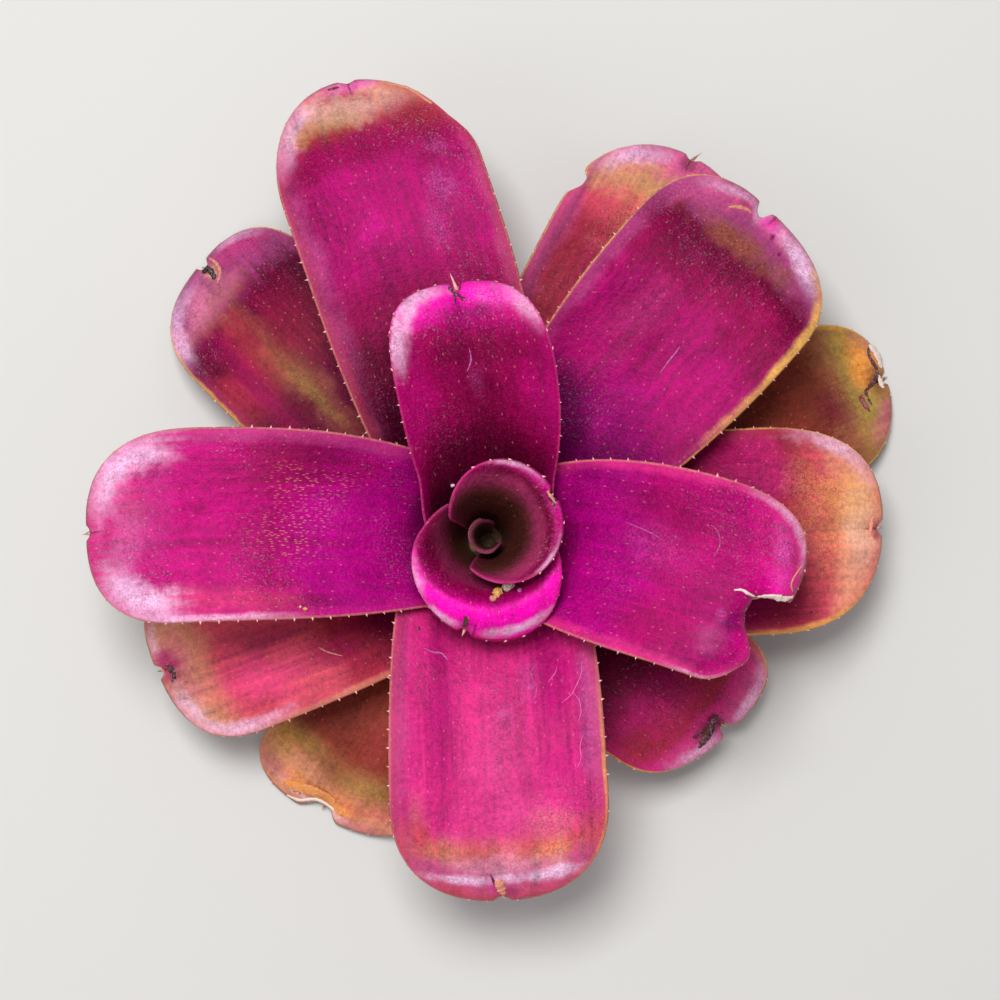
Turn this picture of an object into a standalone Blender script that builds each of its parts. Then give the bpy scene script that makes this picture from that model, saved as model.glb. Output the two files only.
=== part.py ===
"""Neoregelia bromeliad, picked: a short cut stem that carries a rosette of strap leaves round a cup.

Z is up and the axis of the rosette is the Z axis. The cut underside of the stem lies at z = 0.
All lengths below are in millimetres and all angles in degrees; MM turns them into metres.
"""

import math
from dataclasses import dataclass

import bmesh
import bpy
from mathutils import Vector

MM = 0.001
OBJECT_NAME = "neoregelia_bromeliad"

# The stem is a dome on a flat cut face, and leaf bases stand on it in a spiral, the oldest lowest.
STEM_RADIUS = 17.0
STEM_DOME = 22.0
STEM_FOOT = 4.0
STEM_CUT_RADIUS = 14.5
STEM_GAP = 1.1
STEM_SIDES = 28
STEM_RINGS = 6
FIRST_LEAF_ANGLE = 8.0
LEAF_ANGLE_STEP = 5.45
SHEATH_LEAN = 0.55

# The sheath is broader than the blade and clasps the stem; it narrows into the blade over this length.
SHEATH_HALF_WIDTH = 29.0
SHEATH_FADE = 15.0

# The channel and the waves of a blade begin at this radius and are full this much further out.
SPREAD_START = 28.0
SPREAD_LENGTH = 20.0

# Every leaf is one sheet of this thickness, on a grid of rows across it and columns along it.
LEAF_THICKNESS = 1.0
COLUMNS = 8
ROW_SPACING = 8.0
FEWEST_ROWS = 3
PROFILE_SAMPLES = 400
TIP_ROWS = (0.30, 0.56, 0.80, 1.00)

# Marginal teeth and the spine in the notch at the tip.
TOOTH_HEIGHT = 1.2
TOOTH_BASE = 1.7
TOOTH_LARGEST_SHARE = 0.3
TOOTH_LEAN = 0.35
FIRST_TOOTH_RADIUS = 26.0
SPINE_BASE = 1.3

# Lengths below these count as none.
TINY_SHARE = 0.000001
MERGE_DISTANCE_M = 0.00001

LEAF_ROUGHNESS = 0.42
STEM_COLOUR = (0.16, 0.10, 0.05)
STEM_ROUGHNESS = 0.8


@dataclass(frozen=True)
class Leaf:
    """One leaf: its place in the spiral, its outline seen from above, and its side profile."""

    name: str
    place: int  # 0 is the innermost base on the stem
    direction: float  # anticlockwise from +X, seen from above
    reach: float  # from the axis to the tip
    half_width: float
    tip_length: float  # length of the rounded end
    throat: float  # height that the blade line has over the axis
    crest_radius: float
    crest: float  # highest point of the midrib
    tip: float  # height of the midrib at the tip
    colour: tuple
    neck: float = 0.85  # share of the half width left at the axis
    widest: float = 0.6  # share of the reach where the full width starts
    wrap: float = 105.0  # how far the sheath may reach round the axis, each way
    sway: float = 0.0  # sideways swing of the tip, to the left seen from the axis
    squareness: float = 2.6  # 2 is a round end, 4 nearly square
    skew: float = 0.0  # how much further the left shoulder of the tip reaches
    rise: float = 1.6  # 1 is a straight rise to the crest, more is a rounder one
    softness: float = 6.0  # radius of the bend from sheath to blade
    lip: float = 3.0  # how far the rounded end turns down at its edge
    channel: float = 0.0  # how far the margins stand above the midrib
    wave: float = 0.0  # height of the slow waves along the margins
    wave_length: float = 40.0
    wave_start: float = 0.0
    notch: float = 1.5  # depth of the notch in the tip, from which the spine stands
    notch_half_width: float = 1.8
    spine: float = 2.6


MAGENTA = (0.59, 0.016, 0.24)
VIOLET = (0.36, 0.003, 0.18)
ROSE = (0.70, 0.06, 0.26)
WINE = (0.26, 0.012, 0.08)
OLIVE_RED = (0.30, 0.035, 0.05)
OLIVE_BROWN = (0.19, 0.045, 0.025)

LEAVES = (
    Leaf("heart_leaf", 0, 200, 4.9, 9.5, 1.2, 51, 5, 51, 51, WINE, rise=1.0, softness=2.0, lip=0.0, notch=0.0,
         spine=0.0, wrap=140),
    Leaf("cup_leaf_inner", 1, 16, 18.8, 16.8, 9.0, 74, 15, 74, 73, MAGENTA, sway=4, lip=1.0, notch=1.4,
         spine=1.6, wrap=140),
    Leaf("cup_leaf_outer", 2, 275, 26.0, 24.0, 10.0, 68, 17, 68, 61, MAGENTA, sway=-6, skew=4, squareness=2.4,
         softness=6.5, lip=3.0, notch=1.2, spine=2.2, wrap=130),
    Leaf("leaf_01", 3, 87, 60.0, 20.5, 26.0, 45, 55, 82, 80, VIOLET, neck=0.62, sway=11, squareness=3.4,
         rise=1.25, lip=6.0, channel=2.0, notch=2.0),
    Leaf("leaf_02", 4, -5, 75.5, 24.7, 16.0, 42, 62, 70, 67, VIOLET, neck=0.62, sway=-12, squareness=3.1,
         skew=6.5, lip=4.0, channel=1.5, wave=1.2, wave_length=44, notch=5.0, notch_half_width=3.4),
    Leaf("leaf_03", 5, 175, 99.5, 24.3, 24.0, 40, 68, 61, 56, MAGENTA, neck=0.74, sway=8.5, squareness=2.8,
         skew=-1, lip=5.0, channel=1.5, wave=0.8, wave_length=52, notch=1.0),
    Leaf("leaf_04", 6, 273, 91.0, 27.6, 21.5, 36, 60, 54, 48, ROSE, neck=1.0, sway=-1, squareness=2.7,
         lip=6.0, channel=2.0, wave=-1.0, wave_length=46, wave_start=6, notch=1.3),
    Leaf("leaf_05", 7, 47, 110.2, 27.5, 22.0, 32, 78, 49, 42, WINE, neck=0.45, widest=0.76, sway=2,
         squareness=3.0, skew=2, lip=5.0, channel=1.0, wave=1.0, wave_length=60, notch=2.4,
         notch_half_width=2.6),
    Leaf("leaf_06", 8, 104, 124.0, 26.3, 27.0, 28, 84, 44, 35, MAGENTA, neck=0.62, sway=7, squareness=2.0,
         skew=4, lip=4.0, channel=1.5, wave=-1.0, wave_length=54, notch=0.8),
    Leaf("leaf_07", 9, 0, 101.8, 26.8, 28.0, 24.5, 68, 37, 30, OLIVE_RED, neck=0.62, sway=3, squareness=2.7,
         skew=2, lip=5.0, channel=1.0, wave=1.2, wave_length=48, wave_start=10, notch=1.5),
    Leaf("leaf_08", 10, 204, 92.0, 24.0, 19.5, 21, 62, 32, 25, ROSE, neck=0.88, sway=-3.5, squareness=3.0,
         skew=-1, lip=4.0, channel=1.0, wave=1.0, wave_length=42, notch=1.8),
    Leaf("leaf_09", 11, 62, 115.5, 25.0, 24.0, 18, 72, 29, 18, ROSE, squareness=2.2, lip=4.0, channel=1.0,
         wave=-1.2, wave_length=50, notch=1.0),
    Leaf("leaf_10", 12, 317, 80.2, 23.8, 19.0, 15, 55, 24.5, 19, WINE, neck=1.0, sway=7, squareness=3.6,
         skew=3.5, lip=3.0, channel=1.0, wave=1.6, wave_length=38, wave_start=4, notch=3.0,
         notch_half_width=2.6),
    Leaf("leaf_11", 13, 138, 108.0, 23.2, 22.0, 12.5, 62, 21, 6, OLIVE_RED, neck=1.0, sway=-4.5,
         squareness=2.8, skew=-2, lip=4.0, channel=1.0, wave=1.0, wave_length=46, notch=2.2),
    Leaf("leaf_12", 14, 22, 115.5, 21.0, 20.5, 10.5, 60, 17.5, 4.5, OLIVE_BROWN, neck=0.9, sway=1.5,
         squareness=2.5, skew=3, lip=2.5, wave=-0.8, wave_length=50, notch=1.2),
    Leaf("leaf_13", 15, 242, 84.8, 25.0, 17.0, 8.5, 52, 13, 4.5, OLIVE_RED, neck=0.62, sway=-6.5,
         squareness=3.6, skew=-2, lip=2.5, wave=1.0, wave_length=36, notch=2.0, notch_half_width=2.6),
)


def clear_scene():
    """Remove every object, so that the script always starts from nothing."""
    for item in list(bpy.data.objects):
        bpy.data.objects.remove(item, do_unlink=True)


def new_collection(name):
    """Return a new collection in the scene."""
    collection = bpy.data.collections.new(name)
    bpy.context.scene.collection.children.link(collection)
    return collection


def plain_material(name, colour, roughness):
    """Return a Principled material of one colour."""
    material = bpy.data.materials.new(name)
    material.use_nodes = True
    shader = material.node_tree.nodes["Principled BSDF"]
    shader.inputs["Base Color"].default_value = (*colour, 1.0)
    shader.inputs["Roughness"].default_value = roughness
    shader.inputs["Metallic"].default_value = 0.0
    return material


# Side profile

def base_of(leaf):
    """Radius and height of the leaf's base on the stem's dome, and the slope of its sheath."""
    angle = FIRST_LEAF_ANGLE + LEAF_ANGLE_STEP * leaf.place
    radius = STEM_RADIUS * math.sin(math.radians(angle))
    height = STEM_FOOT + STEM_DOME * math.cos(math.radians(angle))
    slope = math.tan(math.radians(SHEATH_LEAN * angle))
    return radius, height, slope


def blade_line(leaf, radius):
    """Height of the line that the blade follows: a rise to the crest, then a droop to the tip."""
    if radius < leaf.crest_radius:
        left = 1.0 - radius / leaf.crest_radius
        return leaf.crest - (leaf.crest - leaf.throat) * left ** leaf.rise
    past = (radius - leaf.crest_radius) / (leaf.reach - leaf.crest_radius)
    return leaf.crest - (leaf.crest - leaf.tip) * past ** 2


def midrib_height(leaf, radius):
    """Height of the midrib: a smooth bend from the leaning sheath line into the blade line."""
    base_radius, base_height, slope = base_of(leaf)
    bend = leaf.softness ** 2
    start = base_radius - bend / (blade_line(leaf, base_radius) - base_height)
    line = blade_line(leaf, radius)
    out = radius - start + slope * base_height
    middle = out + slope * line
    return (middle - math.sqrt(middle ** 2 - 4.0 * slope * (out * line - bend))) / (2.0 * slope)


def strap_radii(leaf):
    """Radii of the rows from the base to the start of the rounded end, evenly spaced along the midrib."""
    first = base_of(leaf)[0]
    last = leaf.reach - leaf.tip_length
    samples = range(PROFILE_SAMPLES + 1)
    radii = [first + (last - first) * (i / PROFILE_SAMPLES) ** 2 for i in samples]
    lengths = [0.0]
    for inner, outer in zip(radii, radii[1:]):
        step = math.hypot(outer - inner, midrib_height(leaf, outer) - midrib_height(leaf, inner))
        lengths.append(lengths[-1] + step)
    rows = max(FEWEST_ROWS, round(lengths[-1] / ROW_SPACING))
    picked = []
    for row in range(rows + 1):
        target = lengths[-1] * row / rows
        nearest = min(samples, key=lambda i: abs(lengths[i] - target))
        picked.append(radii[nearest])
    return picked


# Outline seen from above, as a radius and a sideways arc length

def half_width_at(leaf, radius):
    """Half width of the strap at a radius, never further round the axis than the sheath can reach."""
    narrow = (1.0 - min(radius / leaf.reach / leaf.widest, 1.0)) ** 2
    width = leaf.half_width * (1.0 - (1.0 - leaf.neck) * narrow)
    up = min(max((radius - base_of(leaf)[0]) / SHEATH_FADE, 0.0), 1.0)
    sheath = 1.0 - up * up * (3.0 - 2.0 * up)
    width += (SHEATH_HALF_WIDTH - width) * sheath
    return min(width, math.radians(leaf.wrap) * radius)


def centre_at(leaf, radius):
    """Sideways place of the midrib at a radius."""
    return leaf.sway * (radius / leaf.reach) ** 2


def in_tip(leaf, along, across):
    """Place of a grid point in the rounded end: how far out, how far across, and how near the edge."""
    out = along * math.sqrt(1.0 - across ** 2 / 2.0)
    side = across * math.sqrt(1.0 - along ** 2 / 2.0)
    edge = math.hypot(out, side)
    if edge < TINY_SHARE:
        return 0.0, 0.0, 0.0, 1.0
    forward = out / edge
    power = leaf.squareness
    square = (abs(forward) ** power + abs(side / edge) ** power) ** (-1.0 / power)
    stretch = 1.0 + (square - 1.0) * edge ** 2
    return out * stretch, side * stretch, edge, forward


def place(leaf, radius, side, height):
    """World position in millimetres of a point given by radius, sideways arc length and height."""
    angle = math.radians(leaf.direction) + side / radius
    return Vector((radius * math.cos(angle), radius * math.sin(angle), height))


def surface_height(leaf, radius, across):
    """Height of the blade at a radius, with its channel and its slow waves."""
    height = midrib_height(leaf, min(radius, leaf.reach))
    spread = min(1.0, max(0.0, (radius - SPREAD_START) / SPREAD_LENGTH))
    height += leaf.channel * across ** 2 * spread
    turn = 2.0 * math.pi * (radius - leaf.wave_start) / leaf.wave_length
    height += leaf.wave * math.sin(turn) * across * abs(across) * spread
    return height


def strap_point(leaf, radius, across):
    """Point of the strap; across runs from -1 at the right margin to 1 at the left one."""
    side = centre_at(leaf, radius) + across * half_width_at(leaf, radius)
    return place(leaf, radius, side, surface_height(leaf, radius, across))


def tip_point(leaf, along, across, inset=0.0):
    """Point of the rounded end; along runs from 0 at its start to 1 at its edge."""
    out, side, edge, forward = in_tip(leaf, along, across)
    start = leaf.reach - leaf.tip_length
    radius = start + out * (leaf.tip_length + leaf.skew * side) - inset
    arc = centre_at(leaf, radius) + side * half_width_at(leaf, start)
    height = surface_height(leaf, radius, side) - leaf.lip * edge ** 3 * forward
    return place(leaf, radius, arc, height)


# The sheet of one leaf

def leaf_rows(leaf):
    """Grid of the leaf's sheet, row by row from base to tip."""
    columns = [2.0 * i / COLUMNS - 1.0 for i in range(COLUMNS + 1)]
    rows = [[strap_point(leaf, radius, across) for across in columns] for radius in strap_radii(leaf)]
    for along in TIP_ROWS:
        row = [tip_point(leaf, along, across) for across in columns]
        row[COLUMNS // 2] = tip_point(leaf, along, 0.0, leaf.notch * along ** 3)
        rows.append(row)
    return rows


def tooth_points(start, end, inner):
    """The three points of one tooth halfway along a stretch of margin, pointing out and forward."""
    run = end - start
    length = run.length
    middle = (start + end) / 2.0
    outward = middle - inner
    outward -= outward.project(run)
    outward.normalize()
    forward = run / length
    half_base = min(TOOTH_BASE / 2.0, length * TOOTH_LARGEST_SHARE)
    first = middle - forward * half_base
    last = middle + forward * half_base
    point = middle + outward * TOOTH_HEIGHT + forward * TOOTH_LEAN
    return [first, point, last]


def notch_points(leaf, side):
    """Rim and foot of the notch on one side of the spine, from the rim inwards."""
    tip_half_width = half_width_at(leaf, leaf.reach - leaf.tip_length)
    # At the edge of the rounded end the grid is drawn in to 1 / sqrt(2) of the width.
    across_per_width = side * math.sqrt(2.0) / tip_half_width
    rim = across_per_width * leaf.notch_half_width
    foot = across_per_width * SPINE_BASE / 2.0
    return [tip_point(leaf, 1.0, rim), tip_point(leaf, 1.0, foot, leaf.notch)]


def leaf_sheet(leaf):
    """Build the open sheet of one leaf, all in triangles, with its teeth, its notch and its spine."""
    rows = leaf_rows(leaf)
    last = len(rows) - 1
    centre = COLUMNS // 2
    rows[last][centre] = tip_point(leaf, 1.0, 0.0, leaf.notch - leaf.spine)
    sheet = bmesh.new()
    grid = [[sheet.verts.new(point * MM) for point in row] for row in rows]

    def extra(points):
        return [sheet.verts.new(point * MM) for point in points]

    def toothed(row):
        at_tip = row >= last - len(TIP_ROWS) and leaf.spine > 0.0
        return at_tip or rows[row][0].xy.length > FIRST_TOOTH_RADIUS

    for row in range(last):
        for column in range(COLUMNS):
            near = grid[row][column:column + 2]
            far = grid[row + 1][column:column + 2]
            right, left, front = [], [], []
            if column == 0 and toothed(row):
                right = extra(tooth_points(rows[row][0], rows[row + 1][0], rows[row][1]))
            if column == COLUMNS - 1 and toothed(row):
                left = extra(tooth_points(rows[row][-1], rows[row + 1][-1], rows[row][-2]))
            if row == last - 1 and leaf.spine > 0.0:
                if column == centre - 1:
                    front = extra(notch_points(leaf, -1.0))
                elif column == centre:
                    front = extra(reversed(notch_points(leaf, 1.0)))
                else:
                    front = extra(tooth_points(rows[last][column], rows[last][column + 1], rows[row][column]))
            loop = [*near, *left, far[1], *reversed(front), far[0], *reversed(right)]
            sheet.faces.new(loop)
    bmesh.ops.triangulate(sheet, faces=sheet.faces[:], quad_method="BEAUTY", ngon_method="BEAUTY")
    bmesh.ops.recalc_face_normals(sheet, faces=sheet.faces[:])
    mesh = bpy.data.meshes.new(leaf.name)
    sheet.to_mesh(mesh)
    sheet.free()
    return mesh


def add_leaf(leaf, collection):
    """Add one leaf: its sheet, thickened on both sides."""
    item = bpy.data.objects.new(leaf.name, leaf_sheet(leaf))
    collection.objects.link(item)
    item.data.materials.append(plain_material(leaf.name, leaf.colour, LEAF_ROUGHNESS))
    solid = item.modifiers.new("Thickness", "SOLIDIFY")
    solid.thickness = LEAF_THICKNESS * MM
    solid.offset = 0.0
    solid.use_even_offset = True
    solid.use_rim = True
    return item


# The stem

def stem_profile():
    """Outline of the stem from the top of its dome down to the centre of its cut face."""
    radius = STEM_RADIUS - STEM_GAP
    top = STEM_FOOT + STEM_DOME - STEM_GAP
    points = []
    for ring in range(STEM_RINGS + 1):
        angle = math.radians(90.0 * ring / STEM_RINGS)
        points.append((radius * math.sin(angle), STEM_FOOT + (top - STEM_FOOT) * math.cos(angle)))
    points.append((STEM_CUT_RADIUS, 0.0))
    points.append((0.0, 0.0))
    return points


def add_stem(collection):
    """Add the short cut stem, turned from its profile."""
    mesh = bpy.data.meshes.new("stem")
    points = [(radius * MM, 0.0, height * MM) for radius, height in stem_profile()]
    mesh.from_pydata(points, [(i, i + 1) for i in range(len(points) - 1)], [])
    item = bpy.data.objects.new("stem", mesh)
    collection.objects.link(item)
    mesh.materials.append(plain_material("stem", STEM_COLOUR, STEM_ROUGHNESS))
    turn = item.modifiers.new("Turn", "SCREW")
    turn.steps = STEM_SIDES
    turn.render_steps = STEM_SIDES
    turn.use_merge_vertices = True
    turn.merge_threshold = MERGE_DISTANCE_M
    return item


def main():
    """Build the whole rosette."""
    clear_scene()
    collection = new_collection(OBJECT_NAME)
    add_stem(collection)
    for leaf in LEAVES:
        add_leaf(leaf, collection)


if __name__ == "__main__":
    main()
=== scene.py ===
"""Looks of a picked neoregelia rosette, laid out as an add-on and run as a script.

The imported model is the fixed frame, and each leaf solid is replaced by a finer blade of the same form.
Lengths in the tables and in the node trees are in millimetres, and angles in the tables in degrees. The
sizes that a user can change are properties of the scene, in metres.
"""

import functools
import math
from dataclasses import dataclass, fields
from types import SimpleNamespace

import bmesh
import bpy
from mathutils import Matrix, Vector
from mathutils.bvhtree import BVHTree


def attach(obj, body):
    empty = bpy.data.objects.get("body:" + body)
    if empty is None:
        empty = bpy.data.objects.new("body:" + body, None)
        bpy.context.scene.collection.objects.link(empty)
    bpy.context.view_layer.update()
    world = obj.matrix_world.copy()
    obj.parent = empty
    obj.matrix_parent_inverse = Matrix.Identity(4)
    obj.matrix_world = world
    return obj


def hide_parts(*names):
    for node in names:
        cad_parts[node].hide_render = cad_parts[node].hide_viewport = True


bl_info = {
    "name": "Neoregelia rosette",
    "version": (1, 0, 0),
    "blender": (4, 5, 0),
    "location": "3D View > Sidebar > Rosette",
    "description": "Dresses the solids of a picked neoregelia rosette with finished blades, teeth and stem",
    "category": "Object",
}

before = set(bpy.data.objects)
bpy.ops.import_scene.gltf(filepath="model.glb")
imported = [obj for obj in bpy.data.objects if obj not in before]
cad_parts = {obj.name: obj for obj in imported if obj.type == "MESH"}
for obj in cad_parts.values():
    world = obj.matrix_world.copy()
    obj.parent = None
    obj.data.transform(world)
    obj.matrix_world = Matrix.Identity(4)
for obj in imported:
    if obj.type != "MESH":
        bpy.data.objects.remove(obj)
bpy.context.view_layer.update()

MM = 0.001
TURN = 2.0 * math.pi
TINY = 0.000001
BODY = "root"

# The stem's dome and the leaf bases on it, as in the solids.
STEM_RADIUS = 17.0
STEM_DOME = 22.0
STEM_FOOT = 4.0
STEM_CUT_RADIUS = 14.5
STEM_GAP = 1.1
FIRST_LEAF_ANGLE = 8.0
LEAF_ANGLE_STEP = 5.45
SHEATH_LEAN = 0.55

# The sheath, the spread of the blade out of it, the spine, and the limits of a sheet's height.
SHEATH_HALF_WIDTH = 29.0
SHEATH_FADE = 15.0
SPREAD_START = 28.0
SPREAD_LENGTH = 20.0
SPINE_BASE = 1.3
SPINE_RISE = 0.25
LOWEST_MIDDLE = 0.6
HIGHEST_MIDDLE = 78.2

# The blade's grid: rows crowd towards the sheath, and columns towards the margins.
ROW_CROWDING = 1.5
ROW_LENGTH = 1.35
SHEATH_LENGTH = 20.0
TIP_STRETCH = 1.3
MARGIN_CROWDING = 0.3
MERGE_DISTANCE_M = 0.000004

# The relief of a blade. A falloff is a share of the squared distance in square millimetres.
NOTCH_POWER = 1.3
LIP_POWER = 3.0
NICK_POWER = 6.0
GROOVE_FALLOFF = 0.05
DENT_SCALE = 0.075
DENT_DETAIL = 3.0
LEAF_SHIFT = 40.0  # moves the noise of each leaf on by its direction
FOLD_SCALE = 0.26
FOLD_HEIGHT = 2.4
FOLD_FADE = (15.0, 3.0)
CREASE_FALLOFF = 0.3
CREASE_FADE = (10.0, 2.0)

# The line that the teeth stand on: up the right margin, across the tip and down the left margin.
MARGIN_POINTS = 700
MARGIN_PARTS = 3.0
INWARD_ACROSS = 0.95  # a point a little further in shows which way is outwards
INWARD_RUN = 0.04
NOTCH_CLEARANCE = 1.5  # no teeth stand in the notch or this near to it
NOTCH_RUN = 0.99
FIRST_TOOTH = 26.0
FIRST_TOOTH_SHARE = 0.75

# Teeth and spines are bent cones with a root inside the blade.
SMALLEST_TOOTH = 0.45
TOOTH_LEAN = 0.6
TOOTH_SIDES = 6
TOOTH_SEGMENTS = 3
SPINE_SIDES = 8
SPINE_SEGMENTS = 6
HORN_ROOT = 0.5
HORN_FLATNESS = 0.45

# The stem's grid, its scars and its cut face.
STEM_AROUND = 145
STEM_ROWS = 110
CUT_SHARE = 0.3
FOOT_SHARE = 0.12
CUT_BORDER = 0.01
STEM_MERGE = 5.0  # times the merge distance of a blade
SCAR_SCALE = 0.09
SCAR_WANDER = 3.0
SCAR_DEPTH = 0.55
BARK_SCALE = 0.9
BARK_DEPTH = 0.5
PITH_DEPTH = 0.35
SIDE_FADE = (0.2, 1.0)
SCAR_FADE = (0.25, 0.0)
CUT_EDGE_OUT = 0.2
CUT_EDGE_IN = 1.5

# Detail and roughness of the noises that make rough relief.
ROUGH = (3.0, 0.7)

# Strips and crumbs.
STRIP_STEPS = 40
STRIP_SIDES = 10
STRIP_END = 0.25  # share of the breadth that is left at both ends
STRIP_SCALE = 0.9
RAGGED_LEAST = 0.3
RAGGED_MOST = 1.4
STRIP_LUMP_SCALE = 1.6
STRIP_LUMPS = 0.35
SEED_SHIFT = 3.7  # moves a noise or a grid of flecks on by its seed
CRUMB_SEED = 5
CRUMB_LIFT = 0.25  # share of its size that a crumb's middle stands above the blade
CRUMB_DIVISIONS = 4
CRUMB_SCALE = 1.1
CRUMB_LUMPS = 1.1
CRUMB_TURN = (6.0, 6.0, 6.0)

# Scale, detail and roughness of the noises that a blade's colour is made from.
BLADE_NOISES = {
    "mottle": (0.1, 4.0, 0.62),
    "cloud": (0.035, 3.0, 0.5),
    "fine": (2.0, 2.0, 0.7),
    "grit": (0.75, 3.0, 0.75),
}
# The same for noises drawn out along the blade: scales across and along, shift, detail and roughness.
DRAWN_NOISES = {
    "broad": (0.11, 0.04, 9.0, 2.0, 0.5),
    "lines": (0.55, 0.03, 0.0, 3.0, 0.62),
}
LEAF_SEED_STEP = 7.0

# The layers of a blade's colour. A row or a step gives the values at which a layer starts and is full,
# and a row of three ends with the layer's strength.
STOP_WANDER = 0.16
PALE_LINES = (0.45, 0.3, 0.04)
PALE_GRAIN = (0.54, 0.7, 0.08)
GRIT_CONTRAST = 1.35
LINE_CONTRAST = 0.85
MOTTLE_CONTRAST = 0.9
BROAD_CONTRAST = 0.8
BORDER_WANDER = 4.0
BORDER_FADE = (4.5, 0.8)
RIM_FADE = (0.7, 0.2)
RIM_LEAST = 0.3
RIM_WEAR = (0.38, 0.56, 0.6)
SCURF_LEAST = 0.01
SCURF_MOST = 0.3
# The scurf thickens towards the tip, partly as painted sheen of the turned-down ends.
SCURF_AND_SHEEN_TIP_STEP = (0.7, 1.0)
SCURF_CLOUD_STEP = (0.48, 0.66)
SCURF_FINE_STEP = (0.5, 0.7)
SCURF_GRIT_STEP = (0.42, 0.6)
DOT_STRENGTH = 0.22
DOT_WANDER = 0.6
DOT_STEP = (0.42, 0.6)
SPOT_STRENGTH = 0.25
# Strength, wander, width, depth and start of the painted shade in the crease at the notch.
CREASE_STRENGTH = 0.6
CREASE_WANDER = 1.5
CREASE_WIDTH = (0.5, 0.1)
CREASE_DEPTH = (5.5, 2.0)
CREASE_START = (0.8, 0.85)
UNDER_SCURF = (0.42, 0.62, 0.4)
UNDER_STRENGTH = 0.85
UNDER_SHOWING = 0.5
BLADE_SPECULAR = 0.06
FINE_ROUGHNESS = 0.2
SCURF_ROUGHNESS = 0.5
LINE_RELIEF = 0.45
GRIT_RELIEF = 0.8

# Spacing, radius and share of the pale flecks, all three in the order that flecks() takes them.
DOTS = (0.8, 0.3, 0.2)
SPOTS = (2.3, 0.1, 0.35)
SPOT_SEED = 3.0
FLECK_STEP = 0.02
DASHES = (0.45, 0.28, 0.5)
DASH_SEED = 6.0
DASH_STRETCH = 4.0
# Half length, half width, strength and grain of the patch that dashes fill.
DASH_PATCH = (0.1, 0.26, 0.5, 0.0)

# A patch fades out over this range of its own half sizes. One without a band gets one that is wider
# than any blade.
PATCH_FADE = (1.4, 0.2)
PATCH_LINES = 1.2
PATCH_SPECKS = (0.38, 0.6)
BAND_EDGE = 0.4
BLADE_TERMS = ("Along", "Across", "Edge", "Mottle", "Lines", "Fine")
PATCH_NUMBERS = ("Middle along", "Middle across", "Half length", "Half width", "Strength", "Grain", "Band",
                 "Looseness")
WHOLE_BLADE = 1000.0
BANDED_LOOSENESS = 1.1
FREE_LOOSENESS = 2.2

# Scale, detail and roughness of the noises of the other materials.
TOOTH_GRAIN = (1.2, 3.0, 0.5)
DRY_FIBRES = (1.4, 5.0, 0.7)
STEM_FIBRES = (1.3, 4.0, 0.65)
STEM_BLOTCHES = (0.25, 4.0, 0.5)
FIBRE_DRAW = 0.12
VESSEL_SCALE = 0.8
VESSEL_START = (2.0, 6.0)
VESSEL_STRENGTH = 0.7
VESSEL_RELIEF = 0.4
RIND_IN = 2.2
RIND_OUT = 0.4

# The same kind of rows and steps for the other materials.
TOOTH_PINK = (0.4, 0.65, 0.5)
SPINE_STEP = (0.42, 0.56)
DRY_PALE = (0.5, 0.66, 0.35)
DRY_DARK = (0.44, 0.34, 0.25)
BARK_STEP = (0.4, 0.62)
BARK_BLOTCHES = (0.5, 0.65, 0.5)
SCAR_LINES = (0.3, 0.05, 0.7)
VESSEL_STEP = (0.3, 0.15)
PITH_BLOTCHES = (0.4, 0.65, 0.6)

# Distance in millimetres and strength of each material's bump.
BLADE_BUMP = (0.5, 0.7)
TOOTH_BUMP = (0.1, 0.5)
DRY_BUMP = (0.4, 0.7)
STEM_BUMP = (0.6, 0.7)

# Floor, lights and camera. Each light has its name, place, size in metres and power in watts.
FLOOR_SIZE = 20.0
FLOOR_CLOUD_SCALE = 0.004
FLOOR_CLOUD = (0.3, 0.7, 0.04)
FLOOR_GREY = (0.6, 0.6, 0.6, 1.0)
LIGHTS = (
    ("key", (-0.13, 0.26, 1.1), 0.4, 10.4),
    ("fill", (-0.7, -0.5, 0.8), 0.8, 1.8),
)
LIGHT_AIM = Vector((0.0, 0.0, 0.03))
WORLD_COLOUR = (1.0, 0.99, 1.0, 1.0)
WORLD_STRENGTH = 0.36
CAMERA_TARGET = Vector((3.1, 8.8, 45.0)) * MM
CAMERA_ELEVATION = math.radians(86.0)
CAMERA_BACK = Vector((0.0, -math.cos(CAMERA_ELEVATION), math.sin(CAMERA_ELEVATION)))
CAMERA_DISTANCE = 0.65
CAMERA_LENS = 93.6
CAMERA_CLIP = 0.01
SENSOR_WIDTH = 36.0
PICTURE_SIZE = 1000.0


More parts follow.
